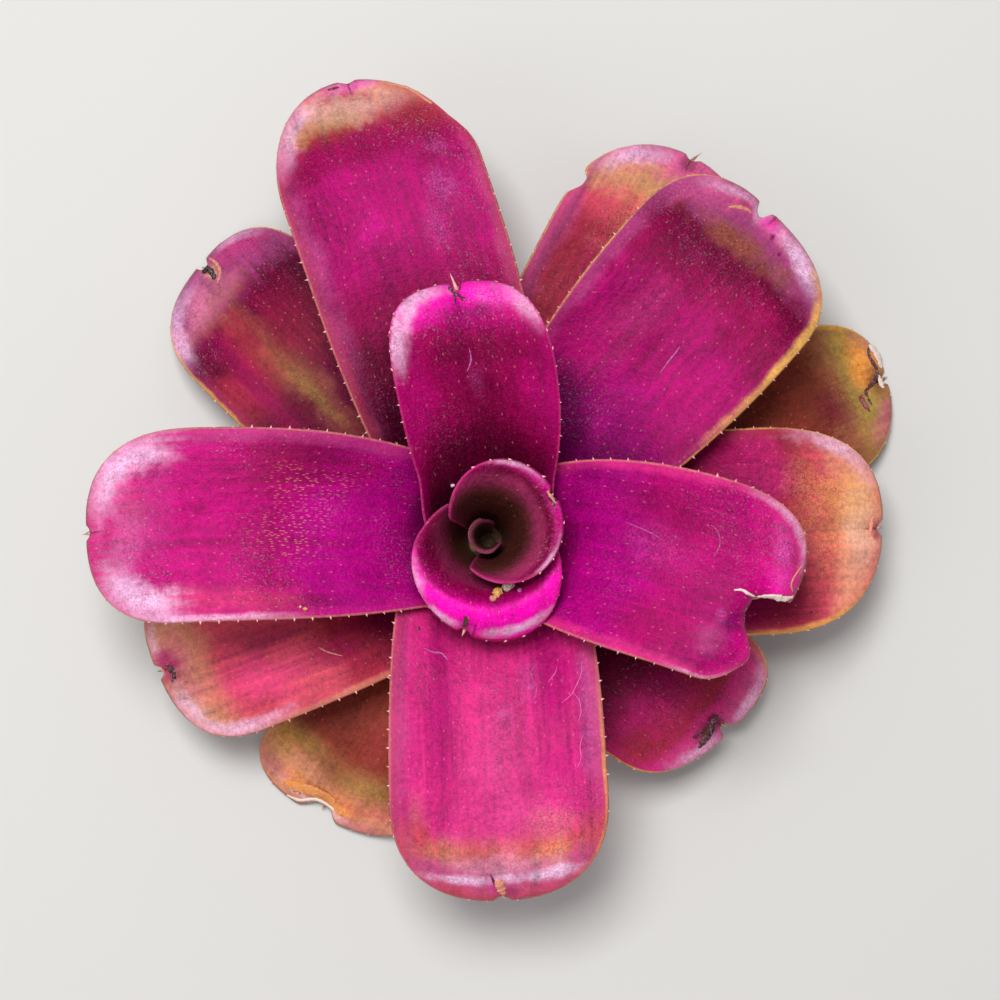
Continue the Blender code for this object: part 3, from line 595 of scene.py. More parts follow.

# Dry strips, dark strips along folds, and a wine strip that paints the shadow under a scrap of leaf_04:
# blade, name, colour, breadth and height in mm, and the pixels of the photograph that each lies under. The
# place in this table seeds a strip's ragged edge.
STRIPS = (
    ("leaf_02", "white_strip", "cream", 1.9, 0.7, ((757, 602), (765, 603), (775, 601), (784, 599),
     (793, 597))),
    ("leaf_02", "cut_rim", "ochre", 0.6, 0.5, ((794, 597), (800, 588), (805, 578), (809, 567))),
    ("leaf_02", "strand", "cream", 0.9, 0.6, ((734, 590), (742, 590), (749, 594), (756, 602))),
    ("leaf_02", "fold_line", "wine", 0.9, 0.5, ((752, 606), (748, 614), (752, 622), (750, 630))),
    ("leaf_02", "upper_scratch", "lavender", 0.2, 0.1, ((625, 522), (640, 528), (655, 535), (663, 541))),
    ("leaf_02", "hooked_scratch", "mauve", 0.4, 0.1, ((711, 525), (718, 532), (720, 545), (714, 556))),
    ("leaf_04", "long_scratch", "lip", 0.18, 0.1, ((582, 661), (581, 674), (576, 686), (571, 695),
     (561, 703))),
    ("leaf_04", "side_scratch", "lip", 0.16, 0.1, ((572, 692), (579, 700), (581, 712), (578, 722))),
    ("leaf_04", "short_scratch", "lip", 0.16, 0.1, ((557, 666), (555, 673), (548, 682))),
    ("leaf_04", "low_scratch", "lip", 0.16, 0.1, ((583, 735), (580, 746), (581, 758), (577, 768))),
    ("leaf_04", "squiggle", "lavender", 0.5, 0.1, ((424, 648), (433, 652), (441, 653), (448, 660))),
    ("leaf_04", "tip_scrap", "peach", 2.6, 1.5, ((496, 879), (499, 884), (502, 889), (503, 895))),
    # A wine strip that paints the shadow under the scrap.
    ("leaf_04", "tip_shadow", "wine", 0.8, 0.5, ((490, 874), (493, 880), (495, 887))),
    ("leaf_04", "middle_scratch", "lavender", 0.2, 0.1, ((537, 664), (531, 672), (533, 682), (527, 690))),
    ("leaf_04", "cross_scratch", "lavender", 0.2, 0.1, ((522, 684), (530, 688), (537, 685), (534, 700))),
    ("leaf_04", "low_mark", "lavender", 0.25, 0.1, ((497, 712), (503, 716), (508, 713))),
    ("leaf_05", "midrib_mark", "lavender", 0.4, 0.1, ((660, 373), (668, 362), (676, 352), (684, 341))),
    ("leaf_05", "bent_spine", "ochre", 1.1, 0.9, ((729, 207), (738, 207), (748, 210), (758, 212))),
    ("leaf_01", "midrib_mark", "lavender", 0.35, 0.1, ((469, 348), (471, 360), (467, 372))),
    ("leaf_01", "tip_fold", "wine", 1.5, 0.9, ((447, 284), (452, 291), (459, 296), (466, 300))),
    ("leaf_01", "tip_crease", "dark", 0.9, 0.6, ((451, 288), (455, 299), (453, 308))),
    ("leaf_08", "streak", "ochre", 0.4, 0.1, ((318, 647), (328, 652), (343, 656))),
    ("leaf_06", "torn_rim", "ochre", 0.9, 0.6, ((380, 75), (392, 81), (408, 88), (428, 101), (446, 112))),
    ("leaf_06", "tip_scrap", "bark", 0.9, 0.8, ((324, 80), (330, 79), (337, 78))),
    ("leaf_09", "bite_rim", "cream", 0.5, 0.4, ((572, 186), (579, 181), (586, 173), (590, 163), (594, 154))),
    ("leaf_12", "upper_scar", "cream", 3.0, 0.7, ((869, 345), (875, 351), (879, 359), (881, 368))),
    ("leaf_12", "lower_scar", "cream", 1.6, 0.6, ((879, 375), (883, 380), (885, 387))),
    ("leaf_12", "dead_crack", "bark", 1.6, 0.4, ((868, 346), (870, 358), (877, 371), (872, 384),
     (866, 393), (872, 405))),
    ("leaf_12", "side_crack", "rust", 1.8, 0.4, ((866, 392), (861, 397), (864, 404), (870, 412))),
    ("leaf_12", "dead_tip", "char", 1.0, 0.7, ((873, 381), (880, 383), (887, 389))),
    ("leaf_13", "crust", "orange", 4.2, 0.9, ((283, 782), (298, 787), (314, 792), (330, 800), (345, 815))),
    ("leaf_13", "pale_rim", "cream", 1.2, 0.9, ((287, 795), (300, 800), (316, 802), (328, 809), (340, 818))),
    ("leaf_10", "dead_fold", "bark", 2.6, 0.7, ((699, 748), (705, 738), (711, 728), (716, 717), (722, 712))),
    ("leaf_10", "side_fold", "wine", 2.0, 0.5, ((693, 738), (701, 733), (709, 726), (715, 714))),
    ("leaf_10", "dead_line", "char", 1.2, 1.1, ((707, 741), (712, 730), (715, 719))),
    ("leaf_11", "dead_spot", "char", 2.6, 1.1, ((202, 266), (207, 268), (212, 273), (215, 279))),
    ("leaf_11", "spot_rim", "ochre", 1.1, 0.5, ((209, 258), (216, 263), (220, 272), (217, 283))),
    ("leaf_08", "dead_spot", "bark", 1.8, 0.9, ((166, 664), (171, 668), (174, 674), (172, 682))),
    ("leaf_08", "dead_tip", "char", 1.0, 0.9, ((168, 670), (173, 674), (176, 679))),
    ("leaf_07", "tip_scrap", "peach", 1.2, 0.7, ((877, 518), (881, 522), (879, 528), (882, 534))),
    ("cup_leaf_inner", "dead_tip", "char", 1.5, 0.8, ((549, 494), (553, 500), (556, 508))),
    ("cup_leaf_inner", "torn_tip", "ochre", 0.8, 0.7, ((550, 491), (554, 494), (557, 500))),
    ("cup_leaf_outer", "dead_tip", "bark", 1.5, 0.8, ((465, 616), (466, 621), (465, 626), (464, 631))),
)

# Crumbs: blade, colour, size in mm and pixel of the photograph.
CRUMBS = (
    ("cup_leaf_outer", "cream", 2.8, (509, 588)),
    ("cup_leaf_outer", "gold", 2.2, (498, 594)),
    ("cup_leaf_outer", "ochre", 1.5, (493, 599)),
    ("cup_leaf_outer", "lavender", 1.0, (520, 591)),
    # This small whitish crumb lies on a white glint of the cup wall and partly paints that glint.
    ("cup_leaf_outer", "scurf", 0.6, (457, 522)),
    ("leaf_01", "scurf", 0.9, (452, 485)),
    ("leaf_04", "char", 0.7, (418, 629)),
    ("leaf_03", "gold", 0.9, (305, 609)),
    ("leaf_03", "gold", 0.6, (300, 607)),
    ("leaf_07", "char", 0.6, (811, 612)),
    ("leaf_09", "cream", 0.5, (667, 210)),
    ("leaf_11", "gold", 0.5, (309, 340)),
    ("leaf_02", "bark", 0.5, (676, 643)),
)


def byte_colour(red, green, blue):
    """Turn display values from 0 to 255 into a linear colour."""
    linear = []
    for value in (red, green, blue):
        share = value / 255.0
        linear.append(share / 12.92 if share <= 0.04045 else ((share + 0.055) / 1.055) ** 2.4)
    return tuple(linear)


def colour_property(label, description, red, green, blue):
    """Return a colour property with its default."""
    return bpy.props.FloatVectorProperty(name=label, description=description, subtype="COLOR", size=3,
                                         min=0.0, max=1.0, default=byte_colour(red, green, blue))


def length_property(label, description, millimetres):
    """Return a length property with its default."""
    return bpy.props.FloatProperty(name=label, description=description, unit="LENGTH", min=0.0,
                                   default=millimetres * MM)


class RosetteSizes(bpy.types.PropertyGroup):
    """Sizes of the rosette that a user may change."""

    thickness: length_property("Leaf thickness", "Thickness of a blade away from its margin", 1.0)
    rim: length_property("Margin rounding", "Width over which a blade thins to its margin", 1.1)
    groove: length_property("Midrib groove", "Depth of the groove along the midrib", 0.35)
    unevenness: length_property("Unevenness", "Height of the slight dents in a blade", 0.55)
    tooth_spacing: length_property("Tooth spacing", "Distance between teeth along the margin", 4.6)
    tooth_height: length_property("Tooth height", "Height of the largest marginal tooth", 0.65)
    tooth_base: length_property("Tooth base", "Breadth of the foot of a marginal tooth", 0.9)
    spine_base: length_property("Spine base", "Breadth of the foot of the end spine", 1.6)
    ring_height: length_property("Leaf scar", "Distance between the leaf scars on the stem", 1.9)
    columns: bpy.props.IntProperty(name="Columns", description="Grid columns across a blade", default=45,
                                   min=9)


class RosetteColours(bpy.types.PropertyGroup):
    """Colours of the rosette that a user may change."""

    dark: colour_property("Deep wine", "Shaded foot of a blade", 62, 0, 26)
    wine: colour_property("Wine", "Dark red part of a blade", 102, 0, 46)
    crimson: colour_property("Crimson", "Deep pink of most blades", 140, 0, 72)
    magenta: colour_property("Magenta", "Main colour of the young blades", 164, 0, 98)
    fuchsia: colour_property("Fuchsia", "Lighter part of the young blades", 184, 0, 112)
    violet: colour_property("Violet", "Violet part of a blade", 166, 0, 116)
    purple: colour_property("Purple", "Cool shaded part of a blade", 108, 0, 78)
    hot: colour_property("Bright pink", "Folded lips and fresh tips", 252, 6, 178)
    lip: colour_property("Pale lip", "Pale pink edge of the youngest leaves", 238, 118, 206)
    rose: colour_property("Rose", "Softer pink of the grown leaves", 206, 40, 122)
    pink: colour_property("Pink", "Palest pink of the grown leaves", 206, 82, 136)
    lavender: colour_property("Lavender", "Bloom on the blades", 178, 84, 156)
    # Mauve also paints the reflection of the bright surround in the raised margins.
    mauve: colour_property("Mauve", "Greyish bands along the margins", 158, 60, 114)
    coral: colour_property("Coral", "Orange pink of the older leaves", 206, 72, 92)
    peach: colour_property("Peach", "Bleached tissue of the older leaves", 240, 154, 122)
    brick: colour_property("Brick", "Brown red of the old leaves", 152, 36, 58)
    rust: colour_property("Rust", "Brown of the oldest leaves", 132, 54, 38)
    bark: colour_property("Bark", "Dead brown tissue", 86, 42, 32)
    char: colour_property("Black spot", "Blackened tissue in a notch", 26, 14, 16)
    olive: colour_property("Olive", "Green brown of the old leaves", 150, 90, 58)
    moss: colour_property("Moss", "Greenest tissue of the old leaves", 164, 136, 64)
    ochre: colour_property("Ochre", "Yellow brown towards the margins", 208, 138, 104)
    gold: colour_property("Gold", "Yellowed tissue", 230, 174, 80)
    orange: colour_property("Orange", "Rotted tissue at the damaged tips", 232, 146, 62)
    cream: colour_property("Cream", "Dry torn edges and crumbs", 240, 220, 206)
    edge_line: colour_property("Edge line", "Thin pale line along the margin", 216, 128, 106)
    # This whitish colour paints the scales, and also the painted sheen on turned-down lips and along folds.
    scurf: colour_property("Scurf", "Whitish scales on the blade", 246, 208, 242)
    under: colour_property("Underside", "Underside of a blade", 142, 60, 92)
    cup: colour_property("Cup wall", "Dark wet wall inside the cup", 148, 44, 86)
    tooth: colour_property("Tooth", "Marginal teeth", 236, 190, 176)
    stem: colour_property("Stem", "Outside of the stem", 96, 72, 44)
    pith: colour_property("Cut face", "Cut face of the stem", 196, 170, 122)
    floor: colour_property("Floor", "Plain pale floor", 212, 211, 208)


# Arithmetic in node trees

def both_ways(operation):
    """The methods for a term on the left and on the right of an operator."""
    return (lambda self, other: calculate(operation, self, other),
            lambda self, other: calculate(operation, other, self))


class Term:
    """A socket in a node tree, which plain arithmetic can use where it carries a number."""

    __add__, __radd__ = both_ways("ADD")
    __sub__, __rsub__ = both_ways("SUBTRACT")
    __mul__, __rmul__ = both_ways("MULTIPLY")
    __truediv__, __rtruediv__ = both_ways("DIVIDE")
    __pow__ = both_ways("POWER")[0]

    def __init__(self, tree, socket):
        self.tree = tree
        self.socket = socket


def feed(tree, socket, value):
    """Give a socket a link where the value is a term or a socket, and a default otherwise."""
    if isinstance(value, Term):
        value = value.socket
    if isinstance(value, bpy.types.NodeSocket):
        tree.links.new(value, socket)
    else:
        socket.default_value = value


def add_node(tree, kind, inputs=None, **settings):
    """Add a node with its settings, and feed its inputs by name or by number."""
    node = tree.nodes.new(kind)
    for name, value in settings.items():
        setattr(node, name, value)
    for key, value in (inputs or {}).items():
        if isinstance(key, int):
            socket = node.inputs[key]
        else:
            socket = next(item for item in node.inputs if item.name == key and item.enabled)
        feed(tree, socket, value)
    return node


def made(tree, kind, inputs=None, **settings):
    """Add a node and return its first output."""
    return add_node(tree, kind, inputs, **settings).outputs[0]


def calculate(operation, *values):
    """Add one math node and return its result."""
    tree = next(value.tree for value in values if isinstance(value, Term))
    return Term(tree, made(tree, "ShaderNodeMath", dict(enumerate(values)), operation=operation))


def root(value):
    """Square root of a term."""
    return calculate("SQRT", value)


def size_of(value):
    """A term without its sign."""
    return calculate("ABSOLUTE", value)


def above(value, limit):
    """1 where a term is above a limit, and 0 elsewhere."""
    return calculate("GREATER_THAN", value, limit)


def smallest(first, second):
    """The smaller of two terms."""
    return calculate("MINIMUM", first, second)


def largest(first, second):
    """The larger of two terms."""
    return calculate("MAXIMUM", first, second)


def clamped(value):
    """A term held between 0 and 1."""
    return smallest(largest(value, 0.0), 1.0)


def eased(value, low, high):
    """A smooth step from 0 at low to 1 at high; it falls where low is above high."""
    return Term(value.tree, made(value.tree, "ShaderNodeMapRange",
                                 {"Value": value, "From Min": low, "From Max": high},
                                 interpolation_type="SMOOTHSTEP"))


def vector_of(tree, first, second, third):
    """A vector of three terms."""
    return made(tree, "ShaderNodeCombineXYZ", {0: first, 1: second, 2: third})


def polar(tree, radius, angle, height):
    """A vector from a distance and an angle round the axis, and a height."""
    return vector_of(tree, radius * calculate("COSINE", angle), radius * calculate("SINE", angle), height)


def scaled(tree, vector, factor):
    """A vector times a number."""
    return made(tree, "ShaderNodeVectorMath", {0: vector, "Scale": factor}, operation="SCALE")


def split(tree, vector):
    """The three numbers of a vector."""
    return [Term(tree, part) for part in add_node(tree, "ShaderNodeSeparateXYZ", {0: vector}).outputs]


def noise_at(tree, vector, scale, detail=2.0, roughness=0.5):
    """Value noise, mostly between 0.3 and 0.7."""
    return Term(tree, made(tree, "ShaderNodeTexNoise", {"Vector": vector, "Scale": scale, "Detail": detail,
                                                        "Roughness": roughness}))


def declare(tree, names, in_out, kind="NodeSocketFloat"):
    """Add named sockets to a node tree's interface."""
    for name in names:
        tree.interface.new_socket(name=name, in_out=in_out, socket_type=kind)


def inputs_of(tree):
    """The named inputs of a tree, as terms."""
    source = tree.nodes.new("NodeGroupInput")
    return {item.name: Term(tree, item) for item in source.outputs if item.name}


# The form of a leaf

def title(name):
    """Name of a node tree's input for a field or a property."""
    return name.replace("_", " ").capitalize()


def base_of(leaf):
    """Radius and height of the leaf's base on the stem's dome, and the slope of its sheath."""
    angle = FIRST_LEAF_ANGLE + LEAF_ANGLE_STEP * leaf.place
    radius = STEM_RADIUS * math.sin(math.radians(angle))
    height = STEM_FOOT + STEM_DOME * math.cos(math.radians(angle))
    slope = math.tan(math.radians(SHEATH_LEAN * angle))
    return radius, height, slope


def leaf_numbers(leaf):
    """The named inputs of a leaf's node trees: its own numbers, and those that follow from them."""
    base_radius, base_height, slope = base_of(leaf)
    left = 1.0 - base_radius / leaf.crest_radius
    base_line = leaf.crest - (leaf.crest - leaf.throat) * left ** leaf.rise
    strap = leaf.reach - leaf.tip_length + SHEATH_LENGTH
    own = {title(field.name): getattr(leaf, field.name) for field in fields(leaf)[2:]}
    return {
        **own,
        "Direction": math.radians(leaf.direction),
        "Wrap": math.radians(leaf.wrap),
        "Base radius": base_radius,
        "Base height": base_height,
        "Sheath slope": slope,
        "Bend start": base_radius - leaf.softness ** 2 / (base_line - base_height),
        "Strap share": strap / (strap + leaf.tip_length * TIP_STRETCH),
        "Pucker": LOOKS[leaf.name].pucker,
    }


LEAF_INPUTS = ("Groove", "Unevenness", *leaf_numbers(LEAVES[0]))


def size_values(*names):
    """Sizes from the scene in millimetres, under the names of the node trees' inputs."""
    return {title(name): getattr(bpy.context.scene.rosette_sizes, name) / MM for name in names}


def blade_line(given, radius):
    """Height of the line that the blade follows: a rise to the crest, then a droop to the tip."""
    inner = largest(1.0 - radius / given["Crest radius"], 0.0) ** given["Rise"]
    outer = largest(radius - given["Crest radius"], 0.0) / (given["Reach"] - given["Crest radius"])
    risen = given["Crest"] - (given["Crest"] - given["Throat"]) * inner
    return risen - (given["Crest"] - given["Tip"]) * outer * outer


def midrib_height(given, radius):
    """Height of the midrib: a smooth bend from the leaning sheath line into the blade line."""
    slope = given["Sheath slope"]
    bend = given["Softness"] * given["Softness"]
    line = blade_line(given, radius)
    out = radius - given["Bend start"] + slope * given["Base height"]
    middle = out + slope * line
    return (middle - root(middle * middle - 4.0 * slope * (out * line - bend))) / (2.0 * slope)


def half_width_at(given, radius):
    """Half width of the strap at a radius, never further round the axis than the sheath can reach."""
    narrow = 1.0 - smallest(radius / given["Reach"] / given["Widest"], 1.0)
    width = given["Half width"] * (1.0 - (1.0 - given["Neck"]) * narrow * narrow)
    sheath = 1.0 - eased(radius - given["Base radius"], 0.0, SHEATH_FADE)
    width = width + (SHEATH_HALF_WIDTH - width) * sheath
    return smallest(width, given["Wrap"] * radius)


def nick_share(given, across, run):
    """What is left of the half width where a piece of the margin is missing."""
    gap = (run - given["Nick run"]) / given["Nick length"]
    bite = given["Nick depth"] / (1.0 + gap * gap * gap * gap)
    return 1.0 - bite * largest(across * given["Nick side"], 0.0) ** NICK_POWER


def rounded_end(given, across, along):
    """The rounded end as a square grid drawn onto a round or nearly square outline.

    It returns how far a point lies forwards and sideways, its share of the way out from the middle, and
    how much of that way goes forwards.
    """
    out = along * root(1.0 - across * across * 0.5)
    side = across * root(1.0 - along * along * 0.5)
    edge = largest(root(out * out + side * side), TINY)
    forward = out / edge
    power = given["Squareness"]
    squared = forward ** power + (size_of(side) / edge) ** power
    square = largest(squared, TINY) ** (-1.0 / power)
    stretch = 1.0 + (square - 1.0) * edge * edge
    return out * stretch, side * stretch, edge, forward


def notch_depth(given, along, left):
    """How far the tip is cut back, at a distance to the left of the notch's middle."""
    beside = largest(left, left * given["Notch slope"] * -1.0)
    cut = eased(beside, given["Notch half width"], SPINE_BASE / 2.0)
    return given["Notch"] * along ** NOTCH_POWER * cut


def relief(given, radius, offset, side, place):
    """Channel, waves, groove and dents of a blade, which start where it spreads out of the sheath."""
    spread = clamped((radius - SPREAD_START) / SPREAD_LENGTH)
    turn = (radius - given["Wave start"]) / given["Wave length"] * TURN
    wave = given["Wave"] * calculate("SINE", turn) * side * size_of(side)
    groove = given["Groove"] * calculate("EXPONENT", offset * offset * -GROOVE_FALLOFF)
    dents = (noise_at(radius.tree, place, DENT_SCALE, DENT_DETAIL) - 0.5) * given["Unevenness"] * 2.0
    return (given["Channel"] * side * side + wave - groove + dents) * spread


def crumpled(given, radius, left, place):
    """Height of the fold and the crumpling round the notch of the tip."""
    away = root((given["Reach"] - radius) * (given["Reach"] - radius) + left * left)
    folds = (noise_at(radius.tree, place, FOLD_SCALE) - 0.5) * FOLD_HEIGHT * eased(away, *FOLD_FADE)
    crease = calculate("EXPONENT", left * left * -CREASE_FALLOFF) * eased(away, *CREASE_FADE)
    return given["Pucker"] * (folds - crease)


def surface_group():
    """Node group that gives the place of a point of a leaf from its share across and along."""
    tree = bpy.data.node_groups.new("Leaf surface", "GeometryNodeTree")
    declare(tree, ("Across", "Run", *LEAF_INPUTS), "INPUT")
    declare(tree, ("Position",), "OUTPUT", "NodeSocketVector")
    declare(tree, ("Radius", "Side", "Edge"), "OUTPUT")
    given = inputs_of(tree)
    share = given["Strap share"]
    run = given["Run"]
    across = given["Across"]
    strap = smallest(run / share, 1.0)
    along = largest((run - share) / (1.0 - share), 0.0)
    start = given["Reach"] - given["Tip length"]
    strap_radius = given["Base radius"] + (start - given["Base radius"]) * strap ** ROW_CROWDING
    out, side, edge, forward = rounded_end(given, across, along)
    side = side * nick_share(given, across, run)
    half = half_width_at(given, strap_radius)
    offset = side * half
    left = offset - given["Notch side"]
    radius = strap_radius + out * (given["Tip length"] + given["Skew"] * side)
    radius = radius - notch_depth(given, along, left)

    place = vector_of(tree, radius, offset, given["Direction"] * LEAF_SHIFT)
    height = midrib_height(given, smallest(radius, given["Reach"]))
    height = height + relief(given, radius, offset, side, place)
    height = height - given["Lip"] * edge ** LIP_POWER * forward + crumpled(given, radius, left, place)
    height = smallest(largest(height, LOWEST_MIDDLE), HIGHEST_MIDDLE)
    reach_share = radius / given["Reach"]
    angle = given["Direction"] + (given["Sway"] * reach_share * reach_share + offset) / radius
    margin = (1.0 - edge) * (half + (given["Tip length"] - half) * forward * forward)
    add_node(tree, "NodeGroupOutput", {"Position": scaled(tree, polar(tree, radius, angle, height), MM),
                                       "Radius": radius, "Side": offset, "Edge": margin})
    return tree


def group_call(tree, kind, group, values):
    """Call a node group, and return its outputs as terms."""
    call = tree.nodes.new(kind)
    call.node_tree = group
    for name, value in values.items():
        feed(tree, call.inputs[name], value)
    return {item.name: Term(tree, item) for item in call.outputs}


def surface_call(tree, given, across, run):
    """Call the leaf surface group, which is made once, with the tree's own leaf inputs."""
    group = bpy.data.node_groups.get("Leaf surface") or surface_group()
    values = {name: given[name] for name in LEAF_INPUTS}
    return group_call(tree, "GeometryNodeGroup", group, {**values, "Across": across, "Run": run})


# Parts of geometry trees

def new_tree(name, numbers, counts=()):
    """Start a geometry tree, and return it with its named inputs."""
    tree = bpy.data.node_groups.new(name, "GeometryNodeTree")
    declare(tree, ("Geometry",), "OUTPUT", "NodeSocketGeometry")
    declare(tree, ("Geometry",), "INPUT", "NodeSocketGeometry")
    declare(tree, counts, "INPUT", "NodeSocketInt")
    declare(tree, numbers, "INPUT")
    declare(tree, ("Material",), "INPUT", "NodeSocketMaterial")
    return tree, inputs_of(tree)


def finish_tree(tree, geometry, material):
    """End a tree: real geometry, smooth shading, the material and the output."""
    real = made(tree, "GeometryNodeRealizeInstances", {"Geometry": geometry})
    smooth = made(tree, "GeometryNodeSetShadeSmooth", {"Geometry": real})
    dressed = made(tree, "GeometryNodeSetMaterial", {"Geometry": smooth, "Material": material})
    add_node(tree, "NodeGroupOutput", {"Geometry": dressed})
    return tree


def store(tree, geometry, name, value, kind="FLOAT", domain="POINT"):
    """Write a named attribute."""
    return made(tree, "GeometryNodeStoreNamedAttribute", {"Geometry": geometry, "Name": name, "Value": value},
                data_type=kind, domain=domain)


def stored(tree, name, kind="FLOAT"):
    """Read a named attribute."""
    node = add_node(tree, "GeometryNodeInputNamedAttribute", {"Name": name}, data_type=kind)
    return Term(tree, next(item for item in node.outputs if item.enabled))


def moved(tree, geometry, **where):
    """Move points by an offset or to a position."""
    inputs = {title(name): value for name, value in where.items()}
    return made(tree, "GeometryNodeSetPosition", {"Geometry": geometry, **inputs})


def pushed(tree, geometry, distance):
    """Move points along their normals."""
    return moved(tree, geometry, offset=scaled(tree, made(tree, "GeometryNodeInputNormal"), distance))


def merged(tree, geometry, distance):
    """Merge the points that lie within a distance of each other."""
    return made(tree, "GeometryNodeMergeByDistance", {"Geometry": geometry, "Distance": distance})


def joined(tree, *parts):
    """Join geometry."""
    join = tree.nodes.new("GeometryNodeJoinGeometry")
    for part in parts:
        feed(tree, join.inputs[0], part)
    return join.outputs[0]


def position_parts(tree):
    """The three numbers of each point's place."""
    return split(tree, made(tree, "GeometryNodeInputPosition"))


def flat_grid(tree, given, width, columns):
    """A grid of a width and a length of 1 round the origin, and its points' own X and Y."""
    grid = made(tree, "GeometryNodeMeshGrid", {"Size X": width, "Size Y": 1.0, "Vertices X": given[columns],
                                               "Vertices Y": given["Rows"]})
    return grid, *position_parts(tree)[:2]


def copies(tree, points, piece, rotation, more):
    """Real copies of a piece on points."""
    inputs = {"Points": points, "Instance": piece, "Rotation": rotation, **more}
    placed = made(tree, "GeometryNodeInstanceOnPoints", inputs)
    return made(tree, "GeometryNodeRealizeInstances", {"Geometry": placed})


def standing(tree, upwards, ahead):
    """Rotation that turns Z to one vector, and X towards another as far as it can."""
    stand = made(tree, "FunctionNodeAlignRotationToVector", {"Vector": upwards})
    return made(tree, "FunctionNodeAlignRotationToVector", {"Rotation": stand, "Vector": ahead}, axis="X",
                pivot_axis="Z")


# Blades, teeth and spines

def blade_tree():
    """Tree that makes one blade: its grid, its form, its thickness and its attributes."""
    tree, given = new_tree("Leaf blade", ("Thickness", "Rim", *LEAF_INPUTS), ("Columns", "Rows"))
    sheet, x, y = flat_grid(tree, given, 2.0, "Columns")
    across = x * -1.0
    across = across * (1.0 + MARGIN_CROWDING - MARGIN_CROWDING * across * across)
    run = y + 0.5
    found = surface_call(tree, given, across, run)
    along = found["Radius"] / given["Reach"]
    terms = {"across": across, "along": along, "side": found["Side"], "edge": found["Edge"]}
    for name, value in terms.items():
        sheet = store(tree, sheet, name, value)
    sheet = store(tree, sheet, "leaf_uv", vector_of(tree, across * 0.5 + 0.5, run, 0.0), "FLOAT2", "CORNER")
    border = smallest(found["Edge"], run * given["Reach"]) / given["Rim"]
    left = 1.0 - clamped(border)
    sheet = store(tree, sheet, "body", root(clamped(1.0 - left * left)))
    sheet = moved(tree, sheet, position=found["Position"])

    # Two faces of the sheet that meet along its margin.
    half = stored(tree, "body") * given["Thickness"] * 0.5
    upper = store(tree, pushed(tree, sheet, half * MM), "under", 0.0)
    lower = store(tree, pushed(tree, sheet, half * -MM), "under", 1.0)
    lower = made(tree, "GeometryNodeFlipFaces", {"Mesh": lower})
    closed = merged(tree, joined(tree, lower, upper), MERGE_DISTANCE_M)
    return finish_tree(tree, closed, given["Material"])


def horn(tree, base, height, lean, sides, segments):
    """A small curved cone that stands on the XY plane, flat along Y, and leans towards X."""
    depth = height * (1.0 + HORN_ROOT)
    cone = made(tree, "GeometryNodeMeshCone", {"Vertices": sides, "Side Segments": segments,
                                               "Radius Top": 0.0, "Radius Bottom": base * 0.5,
                                               "Depth": depth})
    _, sideways, up = position_parts(tree)
    share = up / depth
    bent = vector_of(tree, share * share * lean, sideways * -HORN_FLATNESS, height * -HORN_ROOT)
    return moved(tree, cone, offset=bent)


def margin_line(tree, given):
    """A leaf's margin as a curve whose points carry the directions of a tooth and of the spine."""
    step = MARGIN_PARTS / (MARGIN_POINTS - 1)
    line = made(tree, "GeometryNodeMeshLine", {"Count": MARGIN_POINTS, "Offset": (step, 0.0, 0.0)})
    walk = position_parts(tree)[0]
    across = smallest(largest(walk * 2.0 - MARGIN_PARTS, -1.0), 1.0)
    run = clamped(smallest(walk, MARGIN_PARTS - walk))
    along = largest((run - given["Strap share"]) / (1.0 - given["Strap share"]), 0.0)
    outer = surface_call(tree, given, across, run)
    inner = surface_call(tree, given, across * INWARD_ACROSS, run - along * INWARD_RUN)
    outward = made(tree, "ShaderNodeVectorMath", {0: outer["Position"], 1: inner["Position"]},
                   operation="SUBTRACT")
    clear = largest(above(size_of(outer["Side"] - given["Notch side"]),
                          given["Notch half width"] + NOTCH_CLEARANCE),
                    calculate("LESS_THAN", run, NOTCH_RUN))
    east, north, _ = split(tree, outward)
    rise = root(east * east + north * north) * SPINE_RISE
    line = store(tree, line, "toothed", clear * above(outer["Radius"], given["First tooth"]))
    line = store(tree, line, "forward", 1.0 - 2.0 * above(walk, MARGIN_PARTS * 0.5))
    line = store(tree, line, "outward", outward, "FLOAT_VECTOR")
    line = store(tree, line, "level", vector_of(tree, east, north, rise), "FLOAT_VECTOR")
    line = moved(tree, line, position=outer["Position"])
    return made(tree, "GeometryNodeMeshToCurve", {"Mesh": line})


def teeth_on(tree, curve, tangent, given):
    """Teeth at even steps along the margin, which lean towards the tip."""
    steps = add_node(tree, "GeometryNodeResampleCurve", {"Curve": curve}, mode="LENGTH")
    feed(tree, steps.inputs["Length"], given["Tooth spacing"] * MM)
    ahead = scaled(tree, tangent, stored(tree, "forward"))
    turned = standing(tree, stored(tree, "outward", "FLOAT_VECTOR"), ahead)
    random = add_node(tree, "FunctionNodeRandomValue", {2: SMALLEST_TOOTH, 3: 1.0, "Seed": given["Seed"]})
    height = given["Tooth height"] * MM
    tooth = horn(tree, given["Tooth base"] * MM, height, height * TOOTH_LEAN, TOOTH_SIDES, TOOTH_SEGMENTS)
    picked = above(stored(tree, "toothed"), 0.5)
    teeth = copies(tree, steps.outputs[0], tooth, turned, {"Selection": picked, "Scale": random.outputs[1]})
    return store(tree, teeth, "dry", 0.0)


def spine_on(tree, curve, tangent, given):
    """One spine at the point of the margin that lies in the middle of the notch."""
    index = Term(tree, made(tree, "GeometryNodeInputIndex"))
    middle = calculate("COMPARE", index, given["Spine point"], 0.5)
    needle = horn(tree, given["Spine base"] * MM, given["Spine height"] * MM, given["Spine lean"] * MM,
                  SPINE_SIDES, SPINE_SEGMENTS)
    turned = standing(tree, stored(tree, "level", "FLOAT_VECTOR"), tangent)
    spine = copies(tree, curve, needle, turned, {"Selection": middle})
    return store(tree, spine, "dry", given["Spine dryness"])


